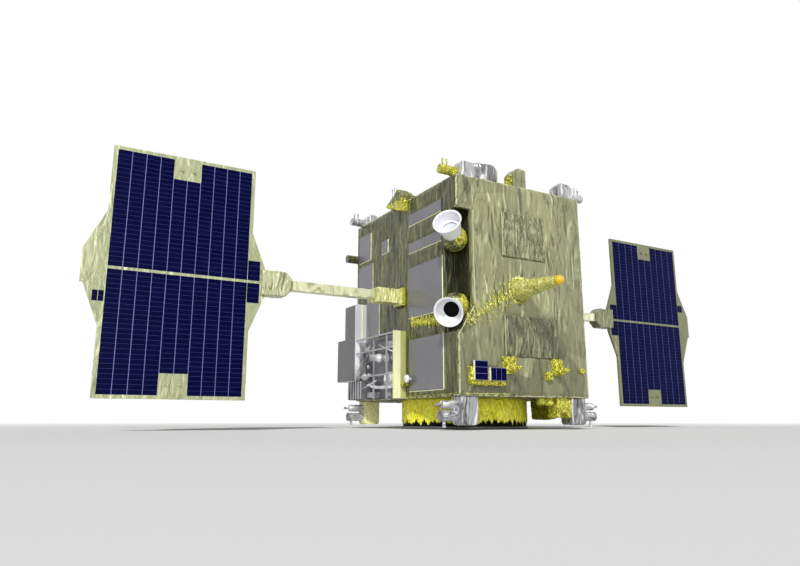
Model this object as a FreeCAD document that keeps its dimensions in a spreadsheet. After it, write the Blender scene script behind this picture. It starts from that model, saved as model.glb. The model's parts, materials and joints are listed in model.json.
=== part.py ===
import FreeCAD, Part
import Sketcher
import math
import os
import re

# A planetary orbiter that stands on its launch adapter ring with both solar wings out.
# Millimetres. X runs along the wings, minus Y is the plain blanket face, Z is up,
# and the origin is the centre of the adapter ring's lower face.

SIZES = [
    ("BodyWidth", 1050),
    ("BodyDepth", 1420),
    ("BodyHeight", 1400),
    ("PanelThick", 25),
    ("CornerCut", 15),
    ("CutOverrun", 5),
    ("RecessWidth", 110),
    ("RecessDepth", 150),
    ("RecessLow", 365),
    ("RecessRise", 185),
    ("RecessTopMargin", 220),
    ("LiningThick", 10),
    ("TankWidth", 600),
    ("TankDepth", 700),
    ("TankHeight", 800),
    ("RingHeight", 205),
    ("RingRadius", 440),
    ("RingWall", 8),
    ("FlangeWidth", 35),
    ("FlangeThick", 12),
    ("BoltCircle", 422),
    ("BoltHole", 4.5),
    ("SkirtThick", 6),
    ("SkirtFlare", 8),
    ("DeckRadius", 350),
    ("DeckThick", 10),
    ("DeckHeight", 60),
    ("LinerThick", 12),
    ("EngineRadius", 80),
    ("EngineWall", 14),
    ("EngineThroat", 16),
    ("EngineNeck", 45),
    ("EngineBell", 110),
    ("EngineLift", 25),
    ("EngineFlange", 10),
    ("EngineGap", 1),
    ("ClusterWidth", 125),
    ("ClusterDepth", 110),
    ("ClusterHeight", 175),
    ("ClusterInset", 20),
    ("ClusterMargin", 10),
    ("ClusterBevel", 14),
    ("ThrusterHigh", 55),
    ("ThrusterHighRadius", 20),
    ("ThrusterHighReach", 110),
    ("ThrusterLip", 6),
    ("ThrusterTipRadius", 9),
    ("ThrusterTipReach", 40),
    ("ThrusterLow", 120),
    ("ThrusterLowRadius", 30),
    ("ThrusterLowReach", 118),
    ("ThrusterDownRadius", 12),
    ("ThrusterDownPlace", 92),
    ("ThrusterDownReach", 68),
    ("ValveWidth", 120),
    ("ValveDepth", 95),
    ("ValveHeight", 130),
    ("ValveArch", 32),
    ("StubRadius", 28),
    ("StubReach", 50),
    ("StubPlace", 150),
    ("StubPitch", 66),
    ("StubMargin", 50),
    ("FloorBoxWidth", 60),
    ("FloorBoxDepth", 200),
    ("FloorBoxHeight", 140),
    ("FloorBoxOut", 10),
    ("FloorBoxPlace", 340),
    ("UpperReach", 130),
    ("UpperRadius", 31),
    ("UpperLift", 35),
    ("UpperFootWidth", 36),
    ("UpperFootDepth", 48),
    ("UpperOverhang", 90),
    ("UpperPlace", 55),
    ("UpperNozzleRadius", 7),
    ("UpperNozzleReach", 78),
    ("UpperNozzleInset", 26),
    ("UpperNozzlePitch", 32),
    ("RoofBlockWidth", 125),
    ("RoofBlockDepth", 90),
    ("RoofBlockHeight", 105),
    ("RoofBlockBevel", 22),
    ("DrumRadius", 140),
    ("DrumHeight", 160),
    ("DrumRim", 28),
    ("DrumPlace", 204),
    ("DrumMargin", 65),
    ("GoldBoxWidth", 110),
    ("GoldBoxDepth", 100),
    ("GoldBoxHeight", 150),
    ("GoldBoxPlace", 18),
    ("GoldBoxMargin", 20),
    ("GoldBoxLowShare", 0.72),
    ("GoldBoxHighShare", 0.92),
    ("GoldBoxPeakShare", 0.1),
    ("HoodWidth", 110),
    ("HoodSpan", 240),
    ("HoodHeight", 100),
    ("HoodDrop", 85),
    ("HoodOverhang", 55),
    ("HoodBackHighShare", 0.2),
    ("HoodShoulderShare", 0.08),
    ("HoodShoulderHighShare", 0.62),
    ("HoodPeakShare", 0.14),
    ("HoodFrontHighShare", 0.35),
    ("PinRadius", 4),
    ("PinReach", 115),
    ("PinOut", 35),
    ("PinPlace", 30),
    ("PinPitch", 35),
    ("TrackerTurnAngle", 38.6),
    ("TrackerTiltAngle", 24),
    ("TrackerOut", 3),
    ("TrackerBack", 46),
    ("TrackerLowHeight", 537),
    ("TrackerHighMargin", 387),
    ("TrackerNeck", 66),
    ("TrackerTail", 40),
    ("TrackerReach", 90),
    ("TrackerFoot", 62),
    ("BaffleNeck", 60),
    ("BaffleMouth", 85),
    ("BaffleReach", 115),
    ("BaffleWall", 3),
    ("BaffleStop", 48),
    ("BaffleHole", 50),
    ("RadiatorThick", 6),
    ("RadiatorFront", 170),
    ("RadiatorRootGap", 58),
    ("StripHighShare", 0.857),
    ("StripHighTallShare", 0.057),
    ("StripLowShare", 0.714),
    ("StripLowTallShare", 0.05),
    ("MainShare", 0.386),
    ("MainTallShare", 0.25),
    ("LowShare", 0.032),
    ("LowTallShare", 0.246),
    ("ColumnHighWidth", 200),
    ("ColumnHighShare", 0.779),
    ("ColumnHighTallShare", 0.154),
    ("ColumnMidWidth", 240),
    ("ColumnMidShare", 0.607),
    ("ColumnMidTallShare", 0.143),
    ("ColumnGap", 3),
    ("ColumnEdge", 37),
    ("ColumnLowWidth", 205),
    ("ColumnLowShare", 0.336),
    ("ColumnLowTallShare", 0.25),
    ("SquareSide", 100),
    ("SquareShare", 0.775),
    ("SquareTallShare", 0.071),
    ("SquarePlace", 240),
    ("PatchThick", 8),
    ("PatchLeft", 170),
    ("PatchHighWidth", 360),
    ("PatchHighShare", 0.646),
    ("PatchHighTallShare", 0.211),
    ("PatchLowWidth", 450),
    ("PatchLowShare", 0.182),
    ("PatchLowTallShare", 0.182),
    ("ConeBase", 67),
    ("ConeTip", 30),
    ("ConeReach", 362),
    ("ConePlace", 50),
    ("ConeHeight", 680),
    ("DomeRadius", 31),
    ("DomeSeatShare", 0.8),
    ("CouponBoxWidth", 260),
    ("CouponBoxHeight", 105),
    ("CouponBoxDepth", 30),
    ("CouponBoxPlace", 335),
    ("CouponBoxFoot", 65),
    ("CouponThick", 12),
    ("CouponFoot", 92),
    ("CouponLeftWidth", 97),
    ("CouponLeftHeight", 117),
    ("CouponLeftPlace", 391),
    ("CouponRightWidth", 120),
    ("CouponRightHeight", 78),
    ("CouponRightPlace", 261),
    ("HornWidth", 76),
    ("HornDepth", 34),
    ("HornHeight", 105),
    ("HornReach", 105),
    ("HornRoot", 26),
    ("HornTip", 6),
    ("HornLeft", 160),
    ("HornRight", 240),
    ("HornFoot", 138),
    ("HornTipShare", 0.3),
    ("HornSideWidth", 46),
    ("HornSideHeight", 48),
    ("HornSideGap", 15),
    ("HornSideFoot", 110),
    ("KnobRadius", 20),
    ("KnobPlace", 466),
    ("KnobHeight", 177),
    ("EyeRadius", 22),
    ("EyeReach", 46),
    ("EyePlace", 95),
    ("EyeHeight", 100),
    ("BayReach", 95),
    ("BayWall", 15),
    ("BayFront", 70),
    ("BayHeight", 460),
    ("BayBackMargin", 177),
    ("RailSide", 10),
    ("RailInset", 2),
    ("RailHigh", 445),
    ("RailMid", 345),
    ("RailLow", 163),
    ("PostFront", 45),
    ("PostBack", 240),
    ("BayBoxHighReach", 85),
    ("BayBoxHighOverhang", 40),
    ("BayBoxHighHeight", 263),
    ("BayBoxLowReach", 100),
    ("BayBoxLowOverhang", 140),
    ("BayBoxLowHeight", 324),
    ("BayBoxLowGap", 6),
    ("BarrelRadius", 31),
    ("BarrelReach", 180),
    ("BarrelPlace", 144),
    ("BarrelHeight", 285),
    ("BarrelCap", 35),
    ("BarrelCapReach", 30),
    ("BarrelBore", 24),
    ("DrumEyeRadius", 50),
    ("DrumEyeReach", 45),
    ("DrumEyePlace", 119),
    ("DrumEyeHeight", 141),
    ("RibBoxWidth", 250),
    ("RibBoxHeight", 138),
    ("RibBoxReach", 60),
    ("RibBoxMargin", 165),
    ("RibBoxFoot", 4),
    ("RibThick", 8),
    ("RibReach", 30),
    ("RibPitch", 34),
    ("DishRadius", 480),
    ("DishThick", 22),
    ("DishRim", 14),
    ("DishGap", 48),
    ("DishHub", 130),
    ("DishDrop", 10),
    ("SideEyeBlock", 70),
    ("SideEyeThick", 46),
    ("SideEyeDrop", 290),
    ("SideEyeRadius", 32),
    ("SideEyeReach", 95),
    ("SideEyeSink", 8),
    ("WingHeight", 706),
    ("CollarSide", 124),
    ("CollarThick", 24),
    ("SleeveSide", 100),
    ("SleeveReach", 186),
    ("HingeGap", 6),
    ("HingePinRadius", 5),
    ("HingePinGap", 0.3),
    ("KnuckleRadius", 12),
    ("KnuckleHalf", 45),
    ("KnuckleSplit", 22),
    ("KnuckleGap", 2),
    ("LeafReach", 50),
    ("BoomSide", 60),
    ("DriveNear", 1352),
    ("DriveWidth", 198),
    ("DriveHeight", 160),
    ("DriveDepth", 90),
    ("DriveCut", 44),
    ("DriveGap", 6),
    ("ShaftRadius", 20),
    ("ShaftReach", 60),
    ("ShaftGap", 0.3),
    ("WingNear", 1616),
    ("WingWidth", 850),
    ("WingTall", 1470),
    ("WingThick", 20),
    ("LobeNearReach", 88),
    ("LobeNearRoot", 315),
    ("LobeNearTip", 100),
    ("LobeFarReach", 112),
    ("LobeFarRoot", 335),
    ("LobeFarTip", 95),
    ("LobeStep", 18),
    ("CellMargin", 22),
    ("CellThick", 1.5),
    ("CellLine", 5),
    ("CellStrip", 18),
    ("CellNotch", 125),
    ("LobeCellWidth", 27),
    ("LobeCellHeight", 61),
    ("LobeCellPitch", 32),
    ("LobeCellOut", 12),
    ("LobeCellDrop", 168),
    ("StudRadius", 9),
    ("StudReach", 12),
    ("StudPitch", 70),
]

# Pieces that repeat
COLUMNS = 10
NOTCHED = (4, 5)
RIBS = 7
BOLTS = 24

os.makedirs("parts", exist_ok=True)
doc = FreeCAD.newDocument("Orbiter")
sheet = doc.addObject("Spreadsheet::Sheet", "Sizes")
for row, (alias, value) in enumerate(SIZES, 1):
    sheet.set(f"A{row}", alias)
    sheet.set(f"B{row}", str(value))
    sheet.setAlias(f"B{row}", alias)
doc.recompute()

NODES = []
NEAR = 1e-4

LEFT_WALL = "-BodyWidth / 2"
FRONT_WALL = "-BodyDepth / 2"
BACK_WALL = "BodyDepth / 2"
ROOF = "RingHeight + BodyHeight"


def formula(text):
    return re.sub(r"\b([A-Z][A-Za-z]+)\b", r"Sizes.\1", text)


def bind(item, path, text):
    item.setExpression(path, formula(text))


def place(item, x, y, z, turn=None):
    if turn is not None:
        item.Placement = FreeCAD.Placement(FreeCAD.Vector(), turn)
    bind(item, "Placement.Base.x", x)
    bind(item, "Placement.Base.y", y)
    bind(item, "Placement.Base.z", z)
    return item


def node(item, label):
    item.Label = label
    NODES.append(item)
    return item


def box(name, width, depth, height, x, y, z):
    """A box whose x and y give its middle and z its foot."""
    item = doc.addObject("Part::Box", name)
    bind(item, "Length", width)
    bind(item, "Width", depth)
    bind(item, "Height", height)
    return place(item, f"({x}) - ({width}) / 2", f"({y}) - ({depth}) / 2", z)


TURNS = {
    "+z": FreeCAD.Rotation(),
    "-z": FreeCAD.Rotation(FreeCAD.Vector(1, 0, 0), 180),
    "+x": FreeCAD.Rotation(FreeCAD.Vector(0, 1, 0), 90),
    "-x": FreeCAD.Rotation(FreeCAD.Vector(0, 1, 0), -90),
    "+y": FreeCAD.Rotation(FreeCAD.Vector(1, 0, 0), -90),
    "-y": FreeCAD.Rotation(FreeCAD.Vector(1, 0, 0), 90),
}


def rod(name, radius, reach, x, y, z, way="+z"):
    item = doc.addObject("Part::Cylinder", name)
    bind(item, "Radius", radius)
    bind(item, "Height", reach)
    return place(item, x, y, z, TURNS[way])


def taper(name, root, tip, reach, x, y, z, way="+z"):
    item = doc.addObject("Part::Cone", name)
    bind(item, "Radius1", root)
    bind(item, "Radius2", tip)
    bind(item, "Height", reach)
    return place(item, x, y, z, TURNS[way])


def joined(name, *pieces):
    item = doc.addObject("Part::MultiFuse", name)
    item.Shapes = list(pieces)
    return item


def group(name, *pieces):
    """Like pieces that do not touch, kept together as one sub-part."""
    item = doc.addObject("Part::Compound", name)
    item.Links = list(pieces)
    return item


def less(name, base, tool):
    item = doc.addObject("Part::Cut", name)
    item.Base = base
    item.Tool = tool
    return item


def plane_of(body, role):
    return next(item for item in body.Origin.OriginFeatures if item.Role == role)


def sketch_on(body, role, name):
    sketch = body.newObject("Sketcher::SketchObject", name)
    sketch.AttachmentSupport = (plane_of(body, role), [""])
    sketch.MapMode = "FlatFace"
    return sketch


def outline(sketch, corners):
    """A closed outline with each corner held at its two formulas."""
    count = len(corners)
    first = sketch.GeometryCount
    spots = []
    for turn in range(count):
        angle = 2 * math.pi * turn / count
        spots.append(FreeCAD.Vector(math.cos(angle), math.sin(angle), 0))
    for at in range(count):
        sketch.addGeometry(Part.LineSegment(spots[at], spots[(at + 1) % count]), False)
    for at in range(count):
        ahead = first + (at + 1) % count
        sketch.addConstraint(Sketcher.Constraint("Coincident", first + at, 2, ahead, 1))
    for at, (across, along) in enumerate(corners):
        held = sketch.addConstraint(Sketcher.Constraint("DistanceX", -1, 1, first + at, 1, spots[at].x))
        bind(sketch, f"Constraints[{held}]", across)
        held = sketch.addConstraint(Sketcher.Constraint("DistanceY", -1, 1, first + at, 1, spots[at].y))
        bind(sketch, f"Constraints[{held}]", along)
    return sketch


def padded(name, role, corners, reach, x, y, z):
    """A plate or block: an outline on one of the body's own planes, given a thickness."""
    body = doc.addObject("PartDesign::Body", name)
    sketch = outline(sketch_on(body, role, name + "_outline"), corners)
    pad = body.newObject("PartDesign::Pad", name + "_pad")
    pad.Profile = sketch
    bind(pad, "Length", reach)
    sketch.Visibility = False
    place(body, x, y, z)
    return body


def rounded(body, radius, chosen):
    """The body with the chosen edges rounded. The test is given an edge and the top of the shape."""
    doc.recompute()
    tip = body.Tip
    top = tip.Shape.BoundBox.ZMax
    names = [f"Edge{at}" for at, edge in enumerate(tip.Shape.Edges, 1) if chosen(edge, top)]
    fillet = body.newObject("PartDesign::Fillet", body.Name + "_round")
    fillet.Base = (tip, names)
    bind(fillet, "Radius", radius)
    body.Tip = fillet
    return body


def turned(name, corners, x, y, z, turn=None):
    """A round piece: half its section, in radius and height, turned about the body's own Z."""
    body = doc.addObject("PartDesign::Body", name)
    sketch = outline(sketch_on(body, "XZ_Plane", name + "_section"), corners)
    spin = body.newObject("PartDesign::Revolution", name + "_turn")
    spin.Profile = sketch
    spin.ReferenceAxis = (sketch, ["V_Axis"])
    spin.Angle = 360
    sketch.Visibility = False
    place(body, x, y, z, turn)
    return body


# The box of the body: floor, roof and four walls

def deck_outline():
    half, deep = "BodyWidth / 2", "BodyDepth / 2"
    return [
        (f"-{half} + CornerCut", f"-{deep}"),
        (f"{half} - CornerCut", f"-{deep}"),
        (half, f"-{deep} + CornerCut"),
        (half, f"{deep} - CornerCut"),
        (f"{half} - CornerCut", deep),
        (f"-{half} + CornerCut", deep),
        (f"-{half}", f"{deep} - CornerCut"),
        (f"-{half}", f"-{deep} + CornerCut"),
    ]


def recess_outline(grow="0"):
    """The star tracker recess seen from the front, as distances from the left wall and the ring."""
    return [
        (f"{LEFT_WALL} - CutOverrun", f"RecessLow - ({grow})"),
        (LEFT_WALL, f"RecessLow - ({grow})"),
        (f"{LEFT_WALL} + RecessWidth + ({grow})", f"RecessLow + RecessRise - ({grow})"),
        (f"{LEFT_WALL} + RecessWidth + ({grow})", f"BodyHeight - RecessTopMargin + ({grow})"),
        (f"{LEFT_WALL} - CutOverrun", f"BodyHeight - RecessTopMargin + ({grow})"),
    ]


def body_walls():
    for name, level in (("floor_panel", "RingHeight"), ("roof_panel", f"{ROOF} - PanelThick")):
        node(padded(name, "XY_Plane", deck_outline(), "PanelThick", "0", "0", level), name)
    tall = "BodyHeight - 2 * PanelThick"
    foot = "RingHeight + PanelThick"
    side = "BodyDepth - 2 * PanelThick"
    right = box("right_wall", "PanelThick", side, tall, "BodyWidth / 2 - PanelThick / 2", "0", foot)
    node(right, "right_wall")
    face = [
        ("-BodyWidth / 2", "CornerCut"),
        ("-BodyWidth / 2 + CornerCut", "0"),
        ("BodyWidth / 2 - CornerCut", "0"),
        ("BodyWidth / 2", "CornerCut"),
        ("BodyWidth / 2", "PanelThick"),
        ("-BodyWidth / 2", "PanelThick"),
    ]
    back = [(across, f"-({along})") for across, along in face]
    node(padded("back_wall", "XY_Plane", back, tall, "0", "BodyDepth / 2", foot), "back_wall")
    front = padded("front_wall_plain", "XY_Plane", face, tall, "0", FRONT_WALL, foot)
    left = box("left_wall_plain", "PanelThick", side, tall, f"{LEFT_WALL} + PanelThick / 2", "0", foot)
    for name, wall in (("front_wall", front), ("left_wall", left)):
        recess = padded(name + "_recess", "XZ_Plane", recess_outline(), "RecessDepth + CutOverrun",
                        "0", f"{FRONT_WALL} + RecessDepth", "RingHeight")
        node(less(name, wall, recess), name)
    shell = padded("lining_block", "XZ_Plane", recess_outline("LiningThick"),
                   "RecessDepth + LiningThick - PanelThick", "0",
                   f"{FRONT_WALL} + RecessDepth + LiningThick", "RingHeight")
    hollow = padded("lining_hollow", "XZ_Plane", recess_outline(), "RecessDepth + CutOverrun",
                    "0", f"{FRONT_WALL} + RecessDepth", "RingHeight")
    outside = box("lining_outside", "2 * PanelThick", "BodyDepth", "BodyHeight",
                  LEFT_WALL, "0", "RingHeight")
    node(less("recess_lining", less("lining_open", shell, hollow), outside), "recess_lining")
    node(box("tank_block", "TankWidth", "TankDepth", "TankHeight", "0", "0", foot), "tank_block")


# The adapter ring with its skirt, and the engine inside it

def adapter():
    ring = turned("adapter_ring_plain", [
        ("RingRadius - FlangeWidth", "0"),
        ("RingRadius", "0"),
        ("RingRadius", "RingHeight"),
        ("RingRadius - FlangeWidth", "RingHeight"),
        ("RingRadius - FlangeWidth", "RingHeight - FlangeThick"),
        ("RingRadius - RingWall", "RingHeight - FlangeThick"),
        ("RingRadius - RingWall", "FlangeThick"),
        ("RingRadius - FlangeWidth", "FlangeThick"),
    ], "0", "0", "0")
    holes = []
    for turn in range(BOLTS):
        angle = 360 * turn / BOLTS
        hole = rod(f"bolt_hole_{turn}", "BoltHole", "FlangeThick + 2 * CutOverrun",
                   f"BoltCircle * cos({angle})", f"BoltCircle * sin({angle})", "-CutOverrun")
        holes.append(hole)
    node(less("adapter_ring", ring, group("bolt_holes", *holes)), "adapter_ring")
    node(turned("ring_skirt", [
        ("RingRadius", "FlangeThick"),
        ("RingRadius + SkirtThick + SkirtFlare", "FlangeThick"),
        ("RingRadius + SkirtThick", "RingHeight"),
        ("RingRadius", "RingHeight"),
    ], "0", "0", "0"), "ring_skirt")
    node(turned("ring_liner", [
        ("DeckRadius", "DeckHeight"),
        ("RingRadius - RingWall", "DeckHeight - 2 * LinerThick"),
        ("RingRadius - RingWall", "DeckHeight - LinerThick"),
        ("DeckRadius", "DeckHeight + LinerThick"),
    ], "0", "0", "0"), "ring_liner")
    node(turned("engine_deck", [
        ("EngineRadius + EngineGap", "DeckHeight"),
        ("DeckRadius", "DeckHeight"),
        ("DeckRadius", "DeckHeight + DeckThick"),
        ("EngineRadius + EngineGap", "DeckHeight + DeckThick"),
    ], "0", "0", "0"), "engine_deck")
    node(turned("main_engine", [
        ("EngineThroat", "EngineLift + EngineBell"),
        ("EngineRadius - EngineWall", "EngineLift"),
        ("EngineRadius", "EngineLift"),
        ("EngineRadius", "EngineLift + EngineBell"),
        ("EngineNeck", "EngineLift + EngineBell + EngineWall"),
        ("EngineNeck", "RingHeight - EngineFlange"),
        ("EngineRadius", "RingHeight - EngineFlange"),
        ("EngineRadius", "RingHeight"),
        ("0", "RingHeight"),
        ("0", "EngineLift + EngineBell"),
    ], "0", "0", "0"), "main_engine")


# The thruster clusters under the floor and the small thrusters on the roof

CORNERS = (
    ("front_left", -1, -1),
    ("front_right", 1, -1),
    ("back_left", -1, 1),
    ("back_right", 1, 1),
)


def thruster_cluster(corner, sx, sy):
    face = f"{sx} * (BodyWidth / 2 - ClusterInset)"
    middle = f"{sy} * (BodyDepth / 2 - ClusterMargin - ClusterDepth / 2)"
    block = padded(f"cluster_{corner}", "XZ_Plane", [
        ("ClusterWidth / 2 - ClusterBevel", "0"),
        ("ClusterWidth / 2", "ClusterBevel"),
        ("ClusterWidth / 2", "ClusterHeight"),
        ("-ClusterWidth / 2", "ClusterHeight"),
        ("-ClusterWidth / 2", "ClusterBevel"),
        ("-ClusterWidth / 2 + ClusterBevel", "0"),
    ], "ClusterDepth", f"({face}) - {sx} * ClusterWidth / 2", f"({middle}) + ClusterDepth / 2",
        "RingHeight - ClusterHeight")
    node(block, f"cluster_{corner}")
    way = "+x" if sx > 0 else "-x"
    name = f"thrusters_{corner}"
    high = "RingHeight - ThrusterHigh"
    low = "RingHeight - ThrusterLow"
    upper = turned(name + "_upper", [
        ("0", "0"),
        ("ThrusterHighRadius + ThrusterLip", "0"),
        ("ThrusterHighRadius + ThrusterLip", "ThrusterLip"),
        ("ThrusterHighRadius", "ThrusterLip"),
        ("ThrusterHighRadius", "ThrusterHighReach"),
        ("ThrusterTipRadius / 2", "ThrusterHighReach"),
        ("ThrusterTipRadius", "ThrusterHighReach + ThrusterTipReach"),
        ("0", "ThrusterHighReach + ThrusterTipReach"),
    ], face, middle, high, TURNS[way])
    lower_case = turned(name + "_lower_case", [
        ("0", "0"),
        ("ThrusterLowRadius", "0"),
        ("ThrusterLowRadius", "ThrusterLowReach - 2 * ThrusterLip"),
        ("ThrusterLowRadius - ThrusterLip", "ThrusterLowReach - 2 * ThrusterLip"),
        ("ThrusterLowRadius - ThrusterLip", "ThrusterLowReach - ThrusterLip"),
        ("ThrusterLowRadius", "ThrusterLowReach - ThrusterLip"),
        ("ThrusterLowRadius", "ThrusterLowReach"),
        ("0", "ThrusterLowReach"),
    ], face, middle, low, TURNS[way])
    lower_tip = taper(name + "_lower_tip", "ThrusterDownRadius / 2", "ThrusterDownRadius",
                      "ThrusterDownReach", f"({face}) + {sx} * ThrusterDownPlace", middle, low, "-z")
    lower = joined(name + "_lower", lower_case, lower_tip)
    node(group(name, upper, lower), name)


def roof_thruster(corner, sx, sy):
    name = f"roof_thruster_{corner}"
    outer = f"{sx} * (BodyWidth / 2 + UpperOverhang)"
    middle = f"{sy} * (BodyDepth / 2 - UpperPlace)"
    inner = f"({outer}) - {sx} * UpperReach"
    pieces = [
        rod(name + "_case", "UpperRadius", "UpperReach", inner, middle, f"{ROOF} + UpperLift",
            "+x" if sx > 0 else "-x"),
        box(name + "_foot", "UpperFootWidth", "UpperFootDepth", "UpperLift",
            f"({inner}) + {sx} * UpperFootWidth / 2", middle, ROOF),
    ]
    for at in (0, 1):
        spot = f"({outer}) - {sx} * (UpperNozzleInset + {at} * UpperNozzlePitch)"
        pieces.append(taper(f"{name}_nozzle_{at}", "UpperNozzleRadius / 2", "UpperNozzleRadius",
                            "UpperNozzleReach", spot, middle, f"{ROOF} + UpperLift"))
    unit = joined(name, *pieces)
    block = padded(f"roof_block_{corner}", "XZ_Plane", [
        ("-RoofBlockWidth / 2", "0"),
        ("RoofBlockWidth / 2", "0"),
        ("RoofBlockWidth / 2", "RoofBlockHeight - RoofBlockBevel"),
        ("RoofBlockWidth / 2 - RoofBlockBevel", "RoofBlockHeight"),
        ("-RoofBlockWidth / 2 + RoofBlockBevel", "RoofBlockHeight"),
        ("-RoofBlockWidth / 2", "RoofBlockHeight - RoofBlockBevel"),
    ], "RoofBlockDepth", f"({inner}) - {sx} * RoofBlockWidth / 2", f"({middle}) + RoofBlockDepth / 2", ROOF)
    return unit, block


def roof_items():
    units, blocks = zip(*[roof_thruster(*corner) for corner in CORNERS])
    node(group("roof_thrusters", *units), "roof_thrusters")
    drum = turned("roof_drum", [
        ("0", "0"),
        ("DrumRadius", "0"),
        ("DrumRadius", "DrumHeight"),
        ("0", "DrumHeight"),
    ], "-DrumPlace", f"{FRONT_WALL} + DrumMargin + DrumRadius", ROOF)
    node(rounded(drum, "DrumRim", lambda edge, top: edge.BoundBox.ZMin > top - NEAR), "roof_drum")
    gold_box = padded("roof_box", "XZ_Plane", [
        ("-GoldBoxWidth / 2", "0"),
        ("GoldBoxWidth / 2", "0"),
        ("GoldBoxWidth / 2", "GoldBoxHeight * GoldBoxHighShare"),
        ("-GoldBoxWidth * GoldBoxPeakShare", "GoldBoxHeight"),
        ("-GoldBoxWidth / 2", "GoldBoxHeight * GoldBoxLowShare"),
    ], "GoldBoxDepth", "GoldBoxPlace", f"{FRONT_WALL} + GoldBoxMargin + GoldBoxDepth", ROOF)
    node(group("roof_boxes", *blocks, gold_box), "roof_boxes")
    hood = padded("edge_hood_cover", "YZ_Plane", [
        ("-HoodSpan / 2", "0"),
        ("HoodSpan / 2", "0"),
        ("HoodSpan / 2", "HoodHeight * HoodBackHighShare"),
        ("HoodSpan * HoodShoulderShare", "HoodHeight * HoodShoulderHighShare"),
        ("-HoodSpan * HoodPeakShare", "HoodHeight"),
        ("-HoodSpan / 2", "HoodHeight * HoodFrontHighShare"),
    ], "HoodWidth", f"{LEFT_WALL} - HoodOverhang", "0", ROOF)
    flap = padded("edge_hood_flap", "YZ_Plane", [
        ("-HoodSpan / 2", "-HoodDrop"),
        ("HoodSpan / 2", "0"),
        ("-HoodSpan / 2", "0"),
    ], "HoodOverhang", f"{LEFT_WALL} - HoodOverhang", "0", ROOF)
    pins = [rod(f"edge_pin_{at}", "PinRadius", "PinReach", f"{LEFT_WALL} - PinOut",
                f"PinPlace + {at} * PinPitch", f"{ROOF} + HoodHeight * HoodBackHighShare") for at in (0, 1)]
    node(joined("edge_hood", hood, flap, *pins), "edge_hood")


# Blocks, stubs and valves that hang under the floor

def under_floor():
    x = "BodyWidth / 2 - ClusterInset - ClusterWidth - ValveWidth / 2"
    y = f"{FRONT_WALL} + ClusterMargin + ClusterDepth / 2"
    foot = "RingHeight - ValveHeight"
    case = box("valve_case", "ValveWidth", "ValveDepth", "ValveHeight", x, y, foot)
    arch = rod("valve_arch", "ValveArch", "ValveDepth + 2 * CutOverrun", x,
               f"({y}) - ValveDepth / 2 - CutOverrun", foot, "+y")
    node(less("valve_box", case, arch), "valve_box")
    stubs = [rod(f"floor_stub_{at}", "StubRadius", "StubReach", f"StubPlace + {at} * StubPitch",
                 f"{FRONT_WALL} + StubMargin", "RingHeight - StubReach") for at in (0, 1)]
    hung = box("floor_box", "FloorBoxWidth", "FloorBoxDepth", "FloorBoxHeight",
               "RingRadius + FloorBoxOut", "-FloorBoxPlace",
               "RingHeight - FloorBoxHeight")
    node(group("floor_boxes", hung, *stubs), "floor_boxes")


# Star trackers in the corner recess

def star_trackers():
    turn = math.radians(sheet.TrackerTurnAngle)
    places = (("lower", "TrackerLowHeight", -1), ("upper", "BodyHeight - TrackerHighMargin", 1))
    for name, foot, rise in places:
        tilt = math.radians(sheet.TrackerTiltAngle) * rise
        level = math.cos(tilt)
        look = FreeCAD.Vector(-level * math.cos(turn), -level * math.sin(turn), math.sin(tilt))
        aim = FreeCAD.Rotation(FreeCAD.Vector(0, 0, 1), look)
        x, y, z = f"{LEFT_WALL} - TrackerOut", f"{FRONT_WALL} + TrackerBack", f"RingHeight + {foot}"
        case = doc.addObject("Part::Cone", f"tracker_{name}_case")
        bind(case, "Radius1", "TrackerNeck")
        bind(case, "Radius2", "TrackerTail")
        bind(case, "Height", "TrackerReach")
        back = FreeCAD.Rotation(FreeCAD.Vector(0, 0, 1), look.negative())
        place(case, x, y, z, back)
        bracket = box(f"tracker_{name}_bracket", "TrackerFoot", "TrackerFoot", "TrackerFoot",
                      f"{LEFT_WALL} + RecessWidth - TrackerFoot / 2",
                      f"{FRONT_WALL} + RecessDepth - TrackerFoot",
                      f"{z} - {rise} * TrackerReach / 2 - TrackerFoot / 2")
        node(joined(f"tracker_{name}", case, bracket), f"tracker_{name}")
        baffle = turned(f"baffle_{name}", [
            ("0", "0"),
            ("BaffleNeck", "0"),
            ("BaffleMouth", "BaffleReach"),
            ("BaffleMouth - BaffleWall", "BaffleReach"),
            ("(BaffleNeck + BaffleMouth) / 2 - BaffleWall", "BaffleStop + BaffleWall"),
            ("BaffleHole", "BaffleStop + BaffleWall"),
            ("BaffleHole", "BaffleStop"),
            ("BaffleNeck - BaffleWall", "BaffleStop"),
            ("BaffleNeck - BaffleWall", "BaffleWall"),
            ("0", "BaffleWall"),
        ], x, y, z, aim)
        node(baffle, f"baffle_{name}")


# Radiators and raised blankets on the walls

def wall_plate(name, side, near, width, row):
    """A plate on the left or right wall, from near along plus Y, in a row set by shares of the height."""
    x = f"{side} * (BodyWidth / 2 + RadiatorThick / 2)"
    return box(name, "RadiatorThick", width, f"BodyHeight * {row}TallShare", x, f"({near}) + ({width}) / 2",
               f"RingHeight + BodyHeight * {row}Share")


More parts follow.
